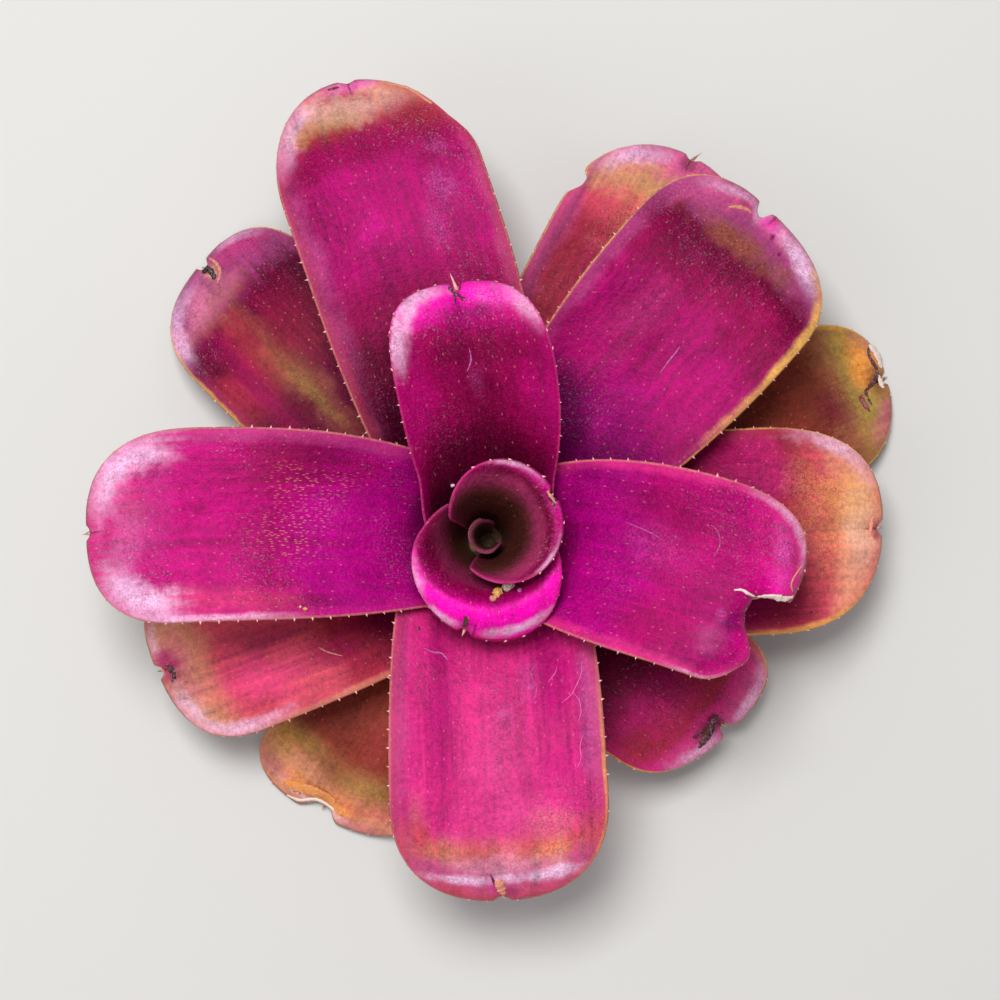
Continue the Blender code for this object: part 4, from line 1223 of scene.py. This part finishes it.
def margin_tree():
    """Tree that sets the teeth along one leaf's margin and the spine in the notch of its tip."""
    numbers = ("Tooth spacing", "Tooth height", "Tooth base", "First tooth", "Spine height", "Spine lean",
               "Spine base", "Spine dryness", "Spine point", *LEAF_INPUTS)
    tree, given = new_tree("Leaf margin", numbers, ("Seed",))
    curve = margin_line(tree, given)
    tangent = made(tree, "GeometryNodeInputTangent")
    teeth = teeth_on(tree, curve, tangent, given)
    spine = spine_on(tree, curve, tangent, given)
    return finish_tree(tree, joined(tree, spine, teeth), given["Material"])


def spine_point(leaf):
    """Number of the margin point that stands in the middle of the notch."""
    across = leaf.notch_side / (leaf.half_width * math.sqrt(0.5))
    walk = (MARGIN_PARTS + across) * 0.5
    return float(round(walk / MARGIN_PARTS * (MARGIN_POINTS - 1)))


def grown(name, tree, values, material, source=None):
    """Run a geometry tree once, on a source mesh if it needs one, and return a plain mesh object."""
    holder = bpy.data.objects.new(name + "_source", source or bpy.data.meshes.new(name + "_source"))
    bpy.context.scene.collection.objects.link(holder)
    modifier = holder.modifiers.new("Form", "NODES")
    modifier.node_group = tree
    sockets = {item.name: item.identifier for item in tree.interface.items_tree if item.in_out == "INPUT"}
    for label, value in {**values, "Material": material}.items():
        modifier[sockets[label]] = value
    depsgraph = bpy.context.evaluated_depsgraph_get()
    mesh = bpy.data.meshes.new_from_object(holder.evaluated_get(depsgraph), depsgraph=depsgraph)
    bpy.data.objects.remove(holder)
    if len(mesh.polygons) == 0:
        raise RuntimeError(f"{name} came out empty")
    mesh.name = name
    piece = bpy.data.objects.new(name, mesh)
    bpy.context.scene.collection.objects.link(piece)
    return piece


# The stem

def stem_tree():
    """Tree that turns the stem: cut face, foot and dome, with the scars of shed leaves."""
    tree, given = new_tree("Stem", ("Ring height",), ("Around", "Rows"))
    body, x, y = flat_grid(tree, given, 1.0, "Around")
    turn = (x + 0.5) * TURN
    walk = y + 0.5
    face = smallest(walk / CUT_SHARE, 1.0)
    foot = clamped((walk - CUT_SHARE) / FOOT_SHARE)
    climb = clamped((walk - CUT_SHARE - FOOT_SHARE) / (1.0 - CUT_SHARE - FOOT_SHARE)) * (TURN / 4.0)
    dome = STEM_RADIUS - STEM_GAP
    radius = STEM_CUT_RADIUS * face + (dome - STEM_CUT_RADIUS) * foot
    radius = radius - dome * (1.0 - calculate("COSINE", climb))
    height = STEM_FOOT * foot + (STEM_DOME - STEM_GAP) * calculate("SINE", climb)

    # Scars are thin steps round the stem that wander a little; roughness goes inwards alone.
    circle = polar(tree, radius, turn, height)
    wander = (noise_at(tree, circle, SCAR_SCALE) - 0.5) * SCAR_WANDER
    ring = calculate("FRACT", (height + wander) / given["Ring height"])
    sides = eased(foot, *SIDE_FADE)
    rough = noise_at(tree, circle, BARK_SCALE, *ROUGH)
    inwards = (eased(ring, *SCAR_FADE) * SCAR_DEPTH + rough * BARK_DEPTH) * sides
    radius = largest(radius - inwards, 0.0)
    flat = eased(radius, STEM_CUT_RADIUS - CUT_EDGE_OUT, STEM_CUT_RADIUS - CUT_EDGE_IN)
    point = polar(tree, radius, turn, height + (1.0 - sides) * rough * flat * PITH_DEPTH)
    body = store(tree, body, "cut", eased(walk, CUT_SHARE + CUT_BORDER, CUT_SHARE - CUT_BORDER))
    body = store(tree, body, "scar", ring)
    body = moved(tree, body, position=scaled(tree, point, MM))
    body = merged(tree, body, MERGE_DISTANCE_M * STEM_MERGE)
    return finish_tree(tree, made(tree, "GeometryNodeFlipFaces", {"Mesh": body}), given["Material"])


# Torn edges, dead tissue and litter

def pixel_ray(pixel):
    """Start and direction of the camera's ray through a pixel of the 1000 by 1000 picture."""
    pixels_per_unit = CAMERA_LENS / SENSOR_WIDTH * PICTURE_SIZE
    half = PICTURE_SIZE / 2.0
    ahead = Vector(((pixel[0] - half) / pixels_per_unit, (half - pixel[1]) / pixels_per_unit, -1.0))
    turned = CAMERA_BACK.to_track_quat("Z", "Y") @ ahead.normalized()
    return CAMERA_TARGET + CAMERA_BACK * CAMERA_DISTANCE, turned


@functools.cache
def surface_of(leaf_name):
    """Search tree of a finished blade, and its height at the tip."""
    mesh = bpy.data.objects[leaf_name + "_blade"].data
    tree = BVHTree.FromPolygons([vertex.co for vertex in mesh.vertices],
                                [tuple(face.vertices) for face in mesh.polygons])
    height = next(leaf.tip for leaf in LEAVES if leaf.name == leaf_name) * MM
    return tree, height


def under_pixel(leaf_name, pixel):
    """Place and normal of the blade under a pixel, or of its nearest place where the pixel misses it."""
    tree, height = surface_of(leaf_name)
    start, ahead = pixel_ray(pixel)
    place, normal, _, _ = tree.ray_cast(start, ahead)
    if place is None:
        beside = start + ahead * ((height - start.z) / ahead.z)
        place, normal, _, _ = tree.find_nearest(beside)
    return place, normal if normal.z > 0.0 else -normal


def marked_mesh(name, places, edges, **vectors):
    """A mesh of points and lines with named vectors on each point."""
    mesh = bpy.data.meshes.new(name)
    mesh.from_pydata(places, edges, [])
    for label, values in vectors.items():
        carried = mesh.attributes.new(label, "FLOAT_VECTOR", "POINT")
        carried.data.foreach_set("vector", [number for value in values for number in value])
    return mesh


def strip_line(leaf_name, name, colour, pixels):
    """Points of a strip on its blade, with the blade's normal and the strip's colour."""
    places, normals = zip(*(under_pixel(leaf_name, pixel) for pixel in pixels))
    edges = [(index, index + 1) for index in range(len(places) - 1)]
    return marked_mesh(name, places, edges, up=normals, tint=[tint(colour)[:3]] * len(places))


def strip_tree():
    """Tree that makes a ragged flat strip along a line."""
    tree, given = new_tree("Strip", ("Breadth", "Height"), ("Seed",))
    curve = made(tree, "GeometryNodeMeshToCurve", {"Mesh": given["Geometry"]})
    curve = made(tree, "GeometryNodeCurveSplineType", {"Curve": curve}, spline_type="CATMULL_ROM")
    curve = made(tree, "GeometryNodeResampleCurve", {"Curve": curve, "Count": STRIP_STEPS})
    position = made(tree, "GeometryNodeInputPosition")
    here = made(tree, "ShaderNodeVectorMath", {0: scaled(tree, position, 1.0 / MM),
                                               1: vector_of(tree, given["Seed"] * SEED_SHIFT, 0.0, 0.0)})
    ragged = RAGGED_LEAST + noise_at(tree, here, STRIP_SCALE, *ROUGH) * RAGGED_MOST
    walk = Term(tree, made(tree, "GeometryNodeSplineParameter"))
    taper = smallest(walk, 1.0 - walk) * 2.0
    narrowed = STRIP_END + (1.0 - STRIP_END) * taper ** 0.5
    width = narrowed * ragged * given["Breadth"] * (MM * 0.5)
    curve = add_node(tree, "GeometryNodeSetCurveNormal", {"Curve": curve}, mode="FREE")
    feed(tree, curve.inputs["Normal"], stored(tree, "up", "FLOAT_VECTOR"))
    ring = made(tree, "GeometryNodeCurvePrimitiveCircle", {"Resolution": STRIP_SIDES, "Radius": 1.0})
    x, y, z = split(tree, position)
    ring = moved(tree, ring, position=vector_of(tree, x * (given["Height"] / given["Breadth"]), y, z))
    strip = made(tree, "GeometryNodeCurveToMesh", {"Curve": curve.outputs[0], "Profile Curve": ring,
                                                   "Scale": width, "Fill Caps": True})
    lumps = given["Breadth"] * (MM * STRIP_LUMPS)
    strip = pushed(tree, strip, (noise_at(tree, here, STRIP_LUMP_SCALE, *ROUGH) - 0.5) * lumps)
    return finish_tree(tree, strip, given["Material"])


def crumb_points():
    """Points of the crumbs on their blades, with their colours and sizes."""
    places = []
    for leaf_name, _, size, pixel in CRUMBS:
        place, normal = under_pixel(leaf_name, pixel)
        places.append(place + normal * size * MM * CRUMB_LIFT)
    return marked_mesh("crumb_points", places, [], tint=[tint(row[1])[:3] for row in CRUMBS],
                       size=[(row[2], row[2], row[2]) for row in CRUMBS])


def crumb_tree():
    """Tree that puts an uneven crumb on every point."""
    tree, given = new_tree("Crumbs", (), ("Seed",))
    points = made(tree, "GeometryNodeMeshToPoints", {"Mesh": given["Geometry"]})
    crumb = made(tree, "GeometryNodeMeshIcoSphere", {"Radius": MM * 0.5, "Subdivisions": CRUMB_DIVISIONS})
    turn = add_node(tree, "FunctionNodeRandomValue", {0: (0.0, 0.0, 0.0), 1: CRUMB_TURN},
                    data_type="FLOAT_VECTOR")
    feed(tree, turn.inputs["Seed"], given["Seed"])
    size = stored(tree, "size", "FLOAT_VECTOR")
    crumbs = copies(tree, points, crumb, turn.outputs[0], {"Scale": size})
    here = scaled(tree, made(tree, "GeometryNodeInputPosition"), 1.0 / MM)
    lumps = noise_at(tree, here, CRUMB_SCALE, 3.0) - 0.5
    crumbs = pushed(tree, crumbs, lumps * split(tree, size)[0] * (MM * CRUMB_LUMPS))
    return finish_tree(tree, crumbs, given["Material"])


# Materials

def tint(name):
    """A named colour of the scene, with its alpha."""
    return (*getattr(bpy.context.scene.rosette_colours, name), 1.0)


def new_material(name, roughness=0.5):
    """Return a material, its tree and its shader."""
    material = bpy.data.materials.new(name)
    material.use_nodes = True
    tree = material.node_tree
    shader = tree.nodes["Principled BSDF"]
    shader.inputs["Roughness"].default_value = roughness
    return material, tree, shader


def attribute(tree, name, output="Fac"):
    """A number or a colour stored on the mesh."""
    node = add_node(tree, "ShaderNodeAttribute", attribute_type="GEOMETRY", attribute_name=name)
    return Term(tree, node.outputs[output])


def millimetres(tree):
    """The object's own coordinates in millimetres."""
    return scaled(tree, add_node(tree, "ShaderNodeTexCoord").outputs["Object"], 1.0 / MM)


def blended(tree, factor, first, second, mode="MIX"):
    """Mix two colours, each a socket, a plain colour or the name of one of the scene's colours."""
    node = add_node(tree, "ShaderNodeMix", data_type="RGBA", blend_type=mode, clamp_result=mode != "MIX")
    for number, value in ((0, factor), (6, first), (7, second)):
        feed(tree, node.inputs[number], tint(value) if isinstance(value, str) else value)
    return node.outputs[2]


def layer(value, start, full, strength):
    """How strongly a layer shows: not at all at its start, and with its strength where it is full."""
    return eased(value, start, full) * strength


def colour_run(tree, value, stops):
    """A run of colours along a term."""
    node = add_node(tree, "ShaderNodeValToRGB", {0: value})
    ramp = node.color_ramp
    ramp.interpolation = "EASE"
    while len(ramp.elements) < len(stops):
        ramp.elements.new(1.0)
    for element, (at, name) in zip(ramp.elements, stops):
        element.position = at
        element.color = tint(name)
    return node.outputs[0]


def coated(tree, shader, colour, height, distance, strength):
    """Give a shader its colour, and relief from a height term; the distance is in millimetres."""
    feed(tree, shader.inputs["Base Color"], colour)
    bump = made(tree, "ShaderNodeBump", {"Height": height, "Distance": distance * MM, "Strength": strength})
    feed(tree, shader.inputs["Normal"], bump)


def cells_of(tree, vector, scale, **settings):
    """The distance to the middle of a cell, and the cell's own colour."""
    cells = add_node(tree, "ShaderNodeTexVoronoi", {"Vector": vector, "Scale": scale}, feature="F1",
                     **settings)
    return Term(tree, cells.outputs["Distance"]), cells.outputs["Color"]


def flecks(tree, on, seed, spacing, radius, share, stretch=1.6):
    """Small dots in a share of the cells of a grid that follows the blade."""
    beside = on.side / spacing + (on.seed + seed) * SEED_SHIFT
    place = vector_of(tree, beside, on.far / (spacing * stretch), 0.0)
    away, own = cells_of(tree, place, 1.0, voronoi_dimensions="2D")
    pick = split(tree, own)[0]
    start = 1.0 - share
    return eased(away, radius, radius * 0.5) * eased(pick, start, start + FLECK_STEP)


def patch_group():
    """Node group that says how strongly a patch covers each place of a blade."""
    tree = bpy.data.node_groups.new("Patch", "ShaderNodeTree")
    declare(tree, (*BLADE_TERMS, *PATCH_NUMBERS), "INPUT")
    declare(tree, ("Mask",), "OUTPUT")
    given = inputs_of(tree)
    length = (given["Along"] - given["Middle along"]) / given["Half length"]
    width = (given["Across"] - given["Middle across"]) / given["Half width"]
    away = root(length * length + width * width) + (given["Mottle"] - 0.5) * given["Looseness"]
    away = away + (given["Lines"] - 0.5) * PATCH_LINES + (given["Fine"] - 0.5)
    specks = 1.0 + (eased(given["Fine"], *PATCH_SPECKS) - 1.0) * given["Grain"]
    band = given["Band"]
    beside = eased(given["Edge"] + (given["Mottle"] - 0.5) * band, band, band * BAND_EDGE)
    mask = eased(away, *PATCH_FADE) * specks * beside * given["Strength"]
    add_node(tree, "NodeGroupOutput", {"Mask": mask})
    return tree


def patch_mask(tree, on, patch):
    """How strongly a patch covers each place."""
    group = bpy.data.node_groups.get("Patch") or patch_group()
    reach = (patch.band, BANDED_LOOSENESS) if patch.band > 0.0 else (WHOLE_BLADE, FREE_LOOSENESS)
    numbers = (patch.along, patch.across, patch.half_length, patch.half_width, patch.strength, patch.grain,
               *reach)
    values = {name: getattr(on, name.lower()) for name in BLADE_TERMS}
    values.update(zip(PATCH_NUMBERS, numbers))
    return group_call(tree, "ShaderNodeGroup", group, values)["Mask"]


def blade_terms(tree, leaf):
    """What a blade's colour is made from: its own coordinates in millimetres and shares, and its noises."""
    names = ("along", "across", "side", "edge", "under")
    on = SimpleNamespace(**{name: attribute(tree, name) for name in names})
    on.far = on.along * leaf.reach
    on.seed = leaf.place * LEAF_SEED_STEP
    here = millimetres(tree)
    for name, row in BLADE_NOISES.items():
        setattr(on, name, noise_at(tree, here, *row))
    for name, (beside, ahead, shift, detail, roughness) in DRAWN_NOISES.items():
        place = vector_of(tree, on.side * beside, on.far * ahead, on.seed + shift)
        setattr(on, name, noise_at(tree, place, 1.0, detail, roughness))
    return on


def tissue(tree, on, look):
    """The run of colours with its patches, its pale grain and its light and dark lines."""
    colour = colour_run(tree, on.along + (on.mottle - 0.5) * STOP_WANDER, look.stops)
    for row in look.patches:
        patch = Patch(*row)
        colour = blended(tree, patch_mask(tree, on, patch), colour, patch.colour)
    pale = layer(on.lines, *PALE_LINES) + layer(on.fine, *PALE_GRAIN)
    colour = blended(tree, pale, colour, "pink")
    shade = 1.0 + (0.5 - on.grit) * GRIT_CONTRAST + (on.lines - 0.5) * LINE_CONTRAST
    shade = shade + (0.5 - on.mottle) * MOTTLE_CONTRAST + (on.broad - 0.5) * BROAD_CONTRAST
    return blended(tree, 1.0, colour, shade, "MULTIPLY")


def bordered(tree, on, look, colour):
    """A broad soft border, partly a painted reflection of the bright surround on the raised margins, and the
    thin edge line, broken by the mottle and the grit.
    """
    border = eased(on.edge + (on.mottle - 0.5) * BORDER_WANDER, *BORDER_FADE) * look.border_strength
    colour = blended(tree, border, colour, look.border)
    worn = RIM_LEAST + layer(on.grit, *RIM_WEAR)
    return blended(tree, eased(on.edge, *RIM_FADE) * worn, colour, look.rim)


def scurf_and_sheen_cover(on, look):
    """How densely the whitish scurf lies: a fine grain all over, thicker towards the tip, where it is partly
    painted sheen of the turned-down ends.
    """
    dense = look.scurf * SCURF_MOST * (eased(on.along, *SCURF_AND_SHEEN_TIP_STEP) + eased(on.cloud, *SCURF_CLOUD_STEP))
    return eased(on.fine, *SCURF_FINE_STEP) * (SCURF_LEAST + dense * eased(on.grit, *SCURF_GRIT_STEP))


def flecked(tree, on, look, colour):
    """Pale flecks in loose clusters, and the dashes at their places."""
    clusters = eased(on.cloud + (on.grit - 0.5) * DOT_WANDER, *DOT_STEP)
    colour = blended(tree, flecks(tree, on, 0.0, *DOTS) * clusters * DOT_STRENGTH, colour, "pink")
    colour = blended(tree, flecks(tree, on, SPOT_SEED, *SPOTS) * SPOT_STRENGTH, colour, "peach")
    for place in look.dashes:
        near = patch_mask(tree, on, Patch("peach", *place, *DASH_PATCH))
        marks = flecks(tree, on, DASH_SEED, *DASHES, DASH_STRETCH)
        colour = blended(tree, near * marks, colour, "peach")
    return colour


def shaded_crease(tree, on, colour):
    """Painted shade in the crease that runs in from the notch."""
    beside = size_of(on.side + (on.mottle - 0.5) * CREASE_WANDER)
    crease = eased(beside, *CREASE_WIDTH) * eased(on.edge, *CREASE_DEPTH) * eased(on.along, *CREASE_START)
    return blended(tree, crease * CREASE_STRENGTH, colour, "wine")


def underside(tree, on, colour):
    """The duller underside, which the colour of the upper side shows through."""
    below = blended(tree, layer(on.fine, *UNDER_SCURF), "under", "scurf")
    below = blended(tree, UNDER_SHOWING, below, colour)
    return blended(tree, on.under * UNDER_STRENGTH, colour, below)


def blade_material(leaf, look):
    """Waxy leaf tissue with its patches, margins, scurf, flecks, fold and underside."""
    material, tree, shader = new_material(leaf.name + "_tissue")
    on = blade_terms(tree, leaf)
    colour = bordered(tree, on, look, tissue(tree, on, look))
    cover = scurf_and_sheen_cover(on, look)
    colour = flecked(tree, on, look, blended(tree, cover, colour, "scurf"))
    if leaf.notch > 0.0:
        colour = shaded_crease(tree, on, colour)
    rough = look.shine + (on.fine - 0.5) * FINE_ROUGHNESS + cover * SCURF_ROUGHNESS
    feed(tree, shader.inputs["Roughness"], rough)
    shader.inputs["Specular IOR Level"].default_value = BLADE_SPECULAR
    height = on.lines * LINE_RELIEF + on.grit * GRIT_RELIEF
    coated(tree, shader, underside(tree, on, colour), height, *BLADE_BUMP)
    return material


def tooth_material():
    """Horny pale margin teeth with pink grain, and dry brown end spines."""
    material, tree, shader = new_material("margin_teeth", roughness=0.45)
    grain = noise_at(tree, millimetres(tree), *TOOTH_GRAIN)
    pale = blended(tree, layer(grain, *TOOTH_PINK), "tooth", "pink")
    brown = blended(tree, eased(grain, *SPINE_STEP), "bark", "ochre")
    coated(tree, shader, blended(tree, attribute(tree, "dry"), pale, brown), grain, *TOOTH_BUMP)
    return material


def dry_and_shadow_material():
    """Dry dead tissue in each piece's own tint, fibrous and dull; it also covers the strip that paints the
    shadow under a scrap of leaf_04.
    """
    material, tree, shader = new_material("dry_tissue", roughness=0.75)
    fibres = noise_at(tree, millimetres(tree), *DRY_FIBRES)
    own = attribute(tree, "tint", "Color")
    colour = blended(tree, layer(fibres, *DRY_PALE), own, "scurf")
    colour = blended(tree, layer(fibres, *DRY_DARK), colour, "bark")
    coated(tree, shader, colour, fibres, *DRY_BUMP)
    return material


def stem_material():
    """Fibrous brown stem with darker scars, and a pale cut face with vessel dots and a browned rind."""
    material, tree, shader = new_material("stem_tissue", roughness=0.8)
    here = millimetres(tree)
    east, north, up = split(tree, here)
    fibres = noise_at(tree, vector_of(tree, east, north, up * FIBRE_DRAW), *STEM_FIBRES)
    blotch = noise_at(tree, here, *STEM_BLOTCHES)
    bark = blended(tree, eased(fibres, *BARK_STEP), "stem", "bark")
    bark = blended(tree, layer(blotch, *BARK_BLOTCHES), bark, "pith")
    bark = blended(tree, layer(attribute(tree, "scar"), *SCAR_LINES), bark, "char")
    radius = root(east * east + north * north)
    away, _ = cells_of(tree, vector_of(tree, east, north, 0.0), VESSEL_SCALE)
    vessels = eased(away, *VESSEL_STEP) * eased(radius, *VESSEL_START)
    face = blended(tree, layer(blotch, *PITH_BLOTCHES), "pith", "ochre")
    face = blended(tree, vessels * VESSEL_STRENGTH, face, "bark")
    rind = eased(radius, STEM_CUT_RADIUS - RIND_IN, STEM_CUT_RADIUS - RIND_OUT)
    face = blended(tree, rind, face, "bark")
    colour = blended(tree, attribute(tree, "cut"), bark, face)
    coated(tree, shader, colour, fibres + vessels * VESSEL_RELIEF, *STEM_BUMP)
    return material


# Operators

class ROSETTE_OT_leaf_blades(bpy.types.Operator):
    """Replace every leaf solid by a finer blade of the same form"""

    bl_idname = "rosette.leaf_blades"
    bl_label = "Leaf blades"

    def execute(self, context):
        tree = blade_tree()
        values = size_values("groove", "unevenness", "thickness", "rim")
        values["Columns"] = context.scene.rosette_sizes.columns
        for leaf in LEAVES:
            length = leaf.reach - leaf.tip_length + SHEATH_LENGTH + leaf.tip_length * TIP_STRETCH
            own = {**leaf_numbers(leaf), "Rows": int(length / ROW_LENGTH)}
            look = LOOKS[leaf.name]
            blade = grown(leaf.name + "_blade", tree, {**values, **own}, blade_material(leaf, look))
            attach(blade, BODY)
            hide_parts(leaf.name)
        return {"FINISHED"}


class ROSETTE_OT_margin_teeth(bpy.types.Operator):
    """Set the teeth along every margin and the spine in every notch"""

    bl_idname = "rosette.margin_teeth"
    bl_label = "Margin teeth"

    def execute(self, context):
        material = tooth_material()
        tree = margin_tree()
        values = size_values("groove", "unevenness", "tooth_spacing", "tooth_height", "tooth_base",
                             "spine_base")
        for leaf in LEAVES:
            if leaf.notch == 0.0:
                continue
            look = LOOKS[leaf.name]
            own = {
                **leaf_numbers(leaf),
                **dict(zip(("Spine height", "Spine lean", "Spine dryness"), look.spine)),
                "First tooth": min(FIRST_TOOTH, leaf.reach * FIRST_TOOTH_SHARE),
                "Spine point": spine_point(leaf),
                "Seed": leaf.place + 1,
            }
            teeth = grown(leaf.name + "_teeth", tree, {**values, **own}, material)
            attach(teeth, BODY)
        return {"FINISHED"}


class ROSETTE_OT_stem(bpy.types.Operator):
    """Replace the stem solid by one with leaf scars and a fibrous cut face"""

    bl_idname = "rosette.stem"
    bl_label = "Stem"

    def execute(self, context):
        values = {**size_values("ring_height"), "Around": STEM_AROUND, "Rows": STEM_ROWS}
        stem = grown("stem_body", stem_tree(), values, stem_material())
        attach(stem, BODY)
        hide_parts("stem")
        return {"FINISHED"}


class ROSETTE_OT_torn_edges(bpy.types.Operator):
    """Lay the dry torn edges, the dead tissue and the dark fold strips on the tips that have them, and the
    strip that paints the shadow under a scrap of leaf_04
    """

    bl_idname = "rosette.torn_edges"
    bl_label = "Torn edges"

    def execute(self, context):
        tree = strip_tree()
        material = dry_and_shadow_material()
        for number, (leaf_name, name, colour, breadth, height, pixels) in enumerate(STRIPS):
            source = strip_line(leaf_name, name, colour, pixels)
            values = {"Breadth": breadth, "Height": height, "Seed": number + 1}
            piece = grown(f"{leaf_name}_{name}", tree, values, material, source)
            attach(piece, BODY)
        return {"FINISHED"}


class ROSETTE_OT_cup_litter(bpy.types.Operator):
    """Drop the crumbs that lie in the cup and on the blades"""

    bl_idname = "rosette.cup_litter"
    bl_label = "Cup litter"

    def execute(self, context):
        litter = grown("cup_litter", crumb_tree(), {"Seed": CRUMB_SEED}, dry_and_shadow_material(), crumb_points())
        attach(litter, BODY)
        return {"FINISHED"}


class ROSETTE_OT_stage(bpy.types.Operator):
    """Make the floor, the soft lights and the camera"""

    bl_idname = "rosette.stage"
    bl_label = "Stage"

    def execute(self, context):
        scene = context.scene
        scene.view_settings.view_transform = "Standard"
        scene.view_settings.look = "None"
        add_floor()
        add_world(scene)
        for name, place, size, power in LIGHTS:
            add_light(name, place, size, power)
        add_camera(scene)
        return {"FINISHED"}


def add_floor():
    """Add the plain pale floor."""
    mesh = bpy.data.meshes.new("floor")
    shape = bmesh.new()
    bmesh.ops.create_grid(shape, x_segments=1, y_segments=1, size=FLOOR_SIZE / 2.0)
    shape.to_mesh(mesh)
    shape.free()
    floor = bpy.data.objects.new("floor", mesh)
    bpy.context.scene.collection.objects.link(floor)
    material, tree, shader = new_material("floor_paint", roughness=0.7)
    cloud = noise_at(tree, millimetres(tree), FLOOR_CLOUD_SCALE, 3.0)
    colour = blended(tree, layer(cloud, *FLOOR_CLOUD), "floor", FLOOR_GREY)
    feed(tree, shader.inputs["Base Color"], colour)
    mesh.materials.append(material)


def add_world(scene):
    """Add an even pale surround."""
    world = bpy.data.worlds.new("studio")
    world.use_nodes = True
    back = world.node_tree.nodes["Background"]
    back.inputs["Color"].default_value = WORLD_COLOUR
    back.inputs["Strength"].default_value = WORLD_STRENGTH
    scene.world = world


def add_aimed(name, data, place, target):
    """Add a light or a camera in its place, turned to its target."""
    item = bpy.data.objects.new(name, data)
    bpy.context.scene.collection.objects.link(item)
    item.location = place
    item.rotation_euler = (target - Vector(place)).to_track_quat("-Z", "Y").to_euler()
    return item


def add_light(name, place, size, power):
    """Add one soft square light."""
    light = bpy.data.lights.new(name, "AREA")
    light.size = size
    light.energy = power
    add_aimed(name, light, place, LIGHT_AIM)


def add_camera(scene):
    """Add the camera at the photograph's viewing angle, straight down but for a few degrees."""
    camera = bpy.data.cameras.new("camera")
    camera.lens = CAMERA_LENS
    camera.clip_start = CAMERA_CLIP
    place = CAMERA_TARGET + CAMERA_BACK * CAMERA_DISTANCE
    scene.camera = add_aimed("camera", camera, place, CAMERA_TARGET)


class ROSETTE_PT_panel(bpy.types.Panel):
    """Lists what builds the rosette"""

    bl_idname = "ROSETTE_PT_panel"
    bl_label = "Rosette"
    bl_space_type = "VIEW_3D"
    bl_region_type = "UI"
    bl_category = "Rosette"

    def draw(self, context):
        column = self.layout.column()
        for operator in OPERATORS:
            column.operator(operator.bl_idname)
        for name in RosetteSizes.__annotations__:
            column.prop(context.scene.rosette_sizes, name)
        for name in RosetteColours.__annotations__:
            column.prop(context.scene.rosette_colours, name)


OPERATORS = (ROSETTE_OT_leaf_blades, ROSETTE_OT_margin_teeth, ROSETTE_OT_stem, ROSETTE_OT_torn_edges,
             ROSETTE_OT_cup_litter, ROSETTE_OT_stage)
CLASSES = (RosetteSizes, RosetteColours, *OPERATORS, ROSETTE_PT_panel)


def register():
    """Register the classes and the scene's settings."""
    for item in CLASSES:
        bpy.utils.register_class(item)
    bpy.types.Scene.rosette_sizes = bpy.props.PointerProperty(type=RosetteSizes)
    bpy.types.Scene.rosette_colours = bpy.props.PointerProperty(type=RosetteColours)


def unregister():
    """Remove the settings and the classes."""
    del bpy.types.Scene.rosette_colours
    del bpy.types.Scene.rosette_sizes
    for item in reversed(CLASSES):
        bpy.utils.unregister_class(item)


def main():
    """Build the looks."""
    register()
    bpy.ops.rosette.leaf_blades()
    bpy.ops.rosette.margin_teeth()
    bpy.ops.rosette.stem()
    bpy.ops.rosette.torn_edges()
    bpy.ops.rosette.cup_litter()
    bpy.ops.rosette.stage()


if __name__ == "__main__":
    main()
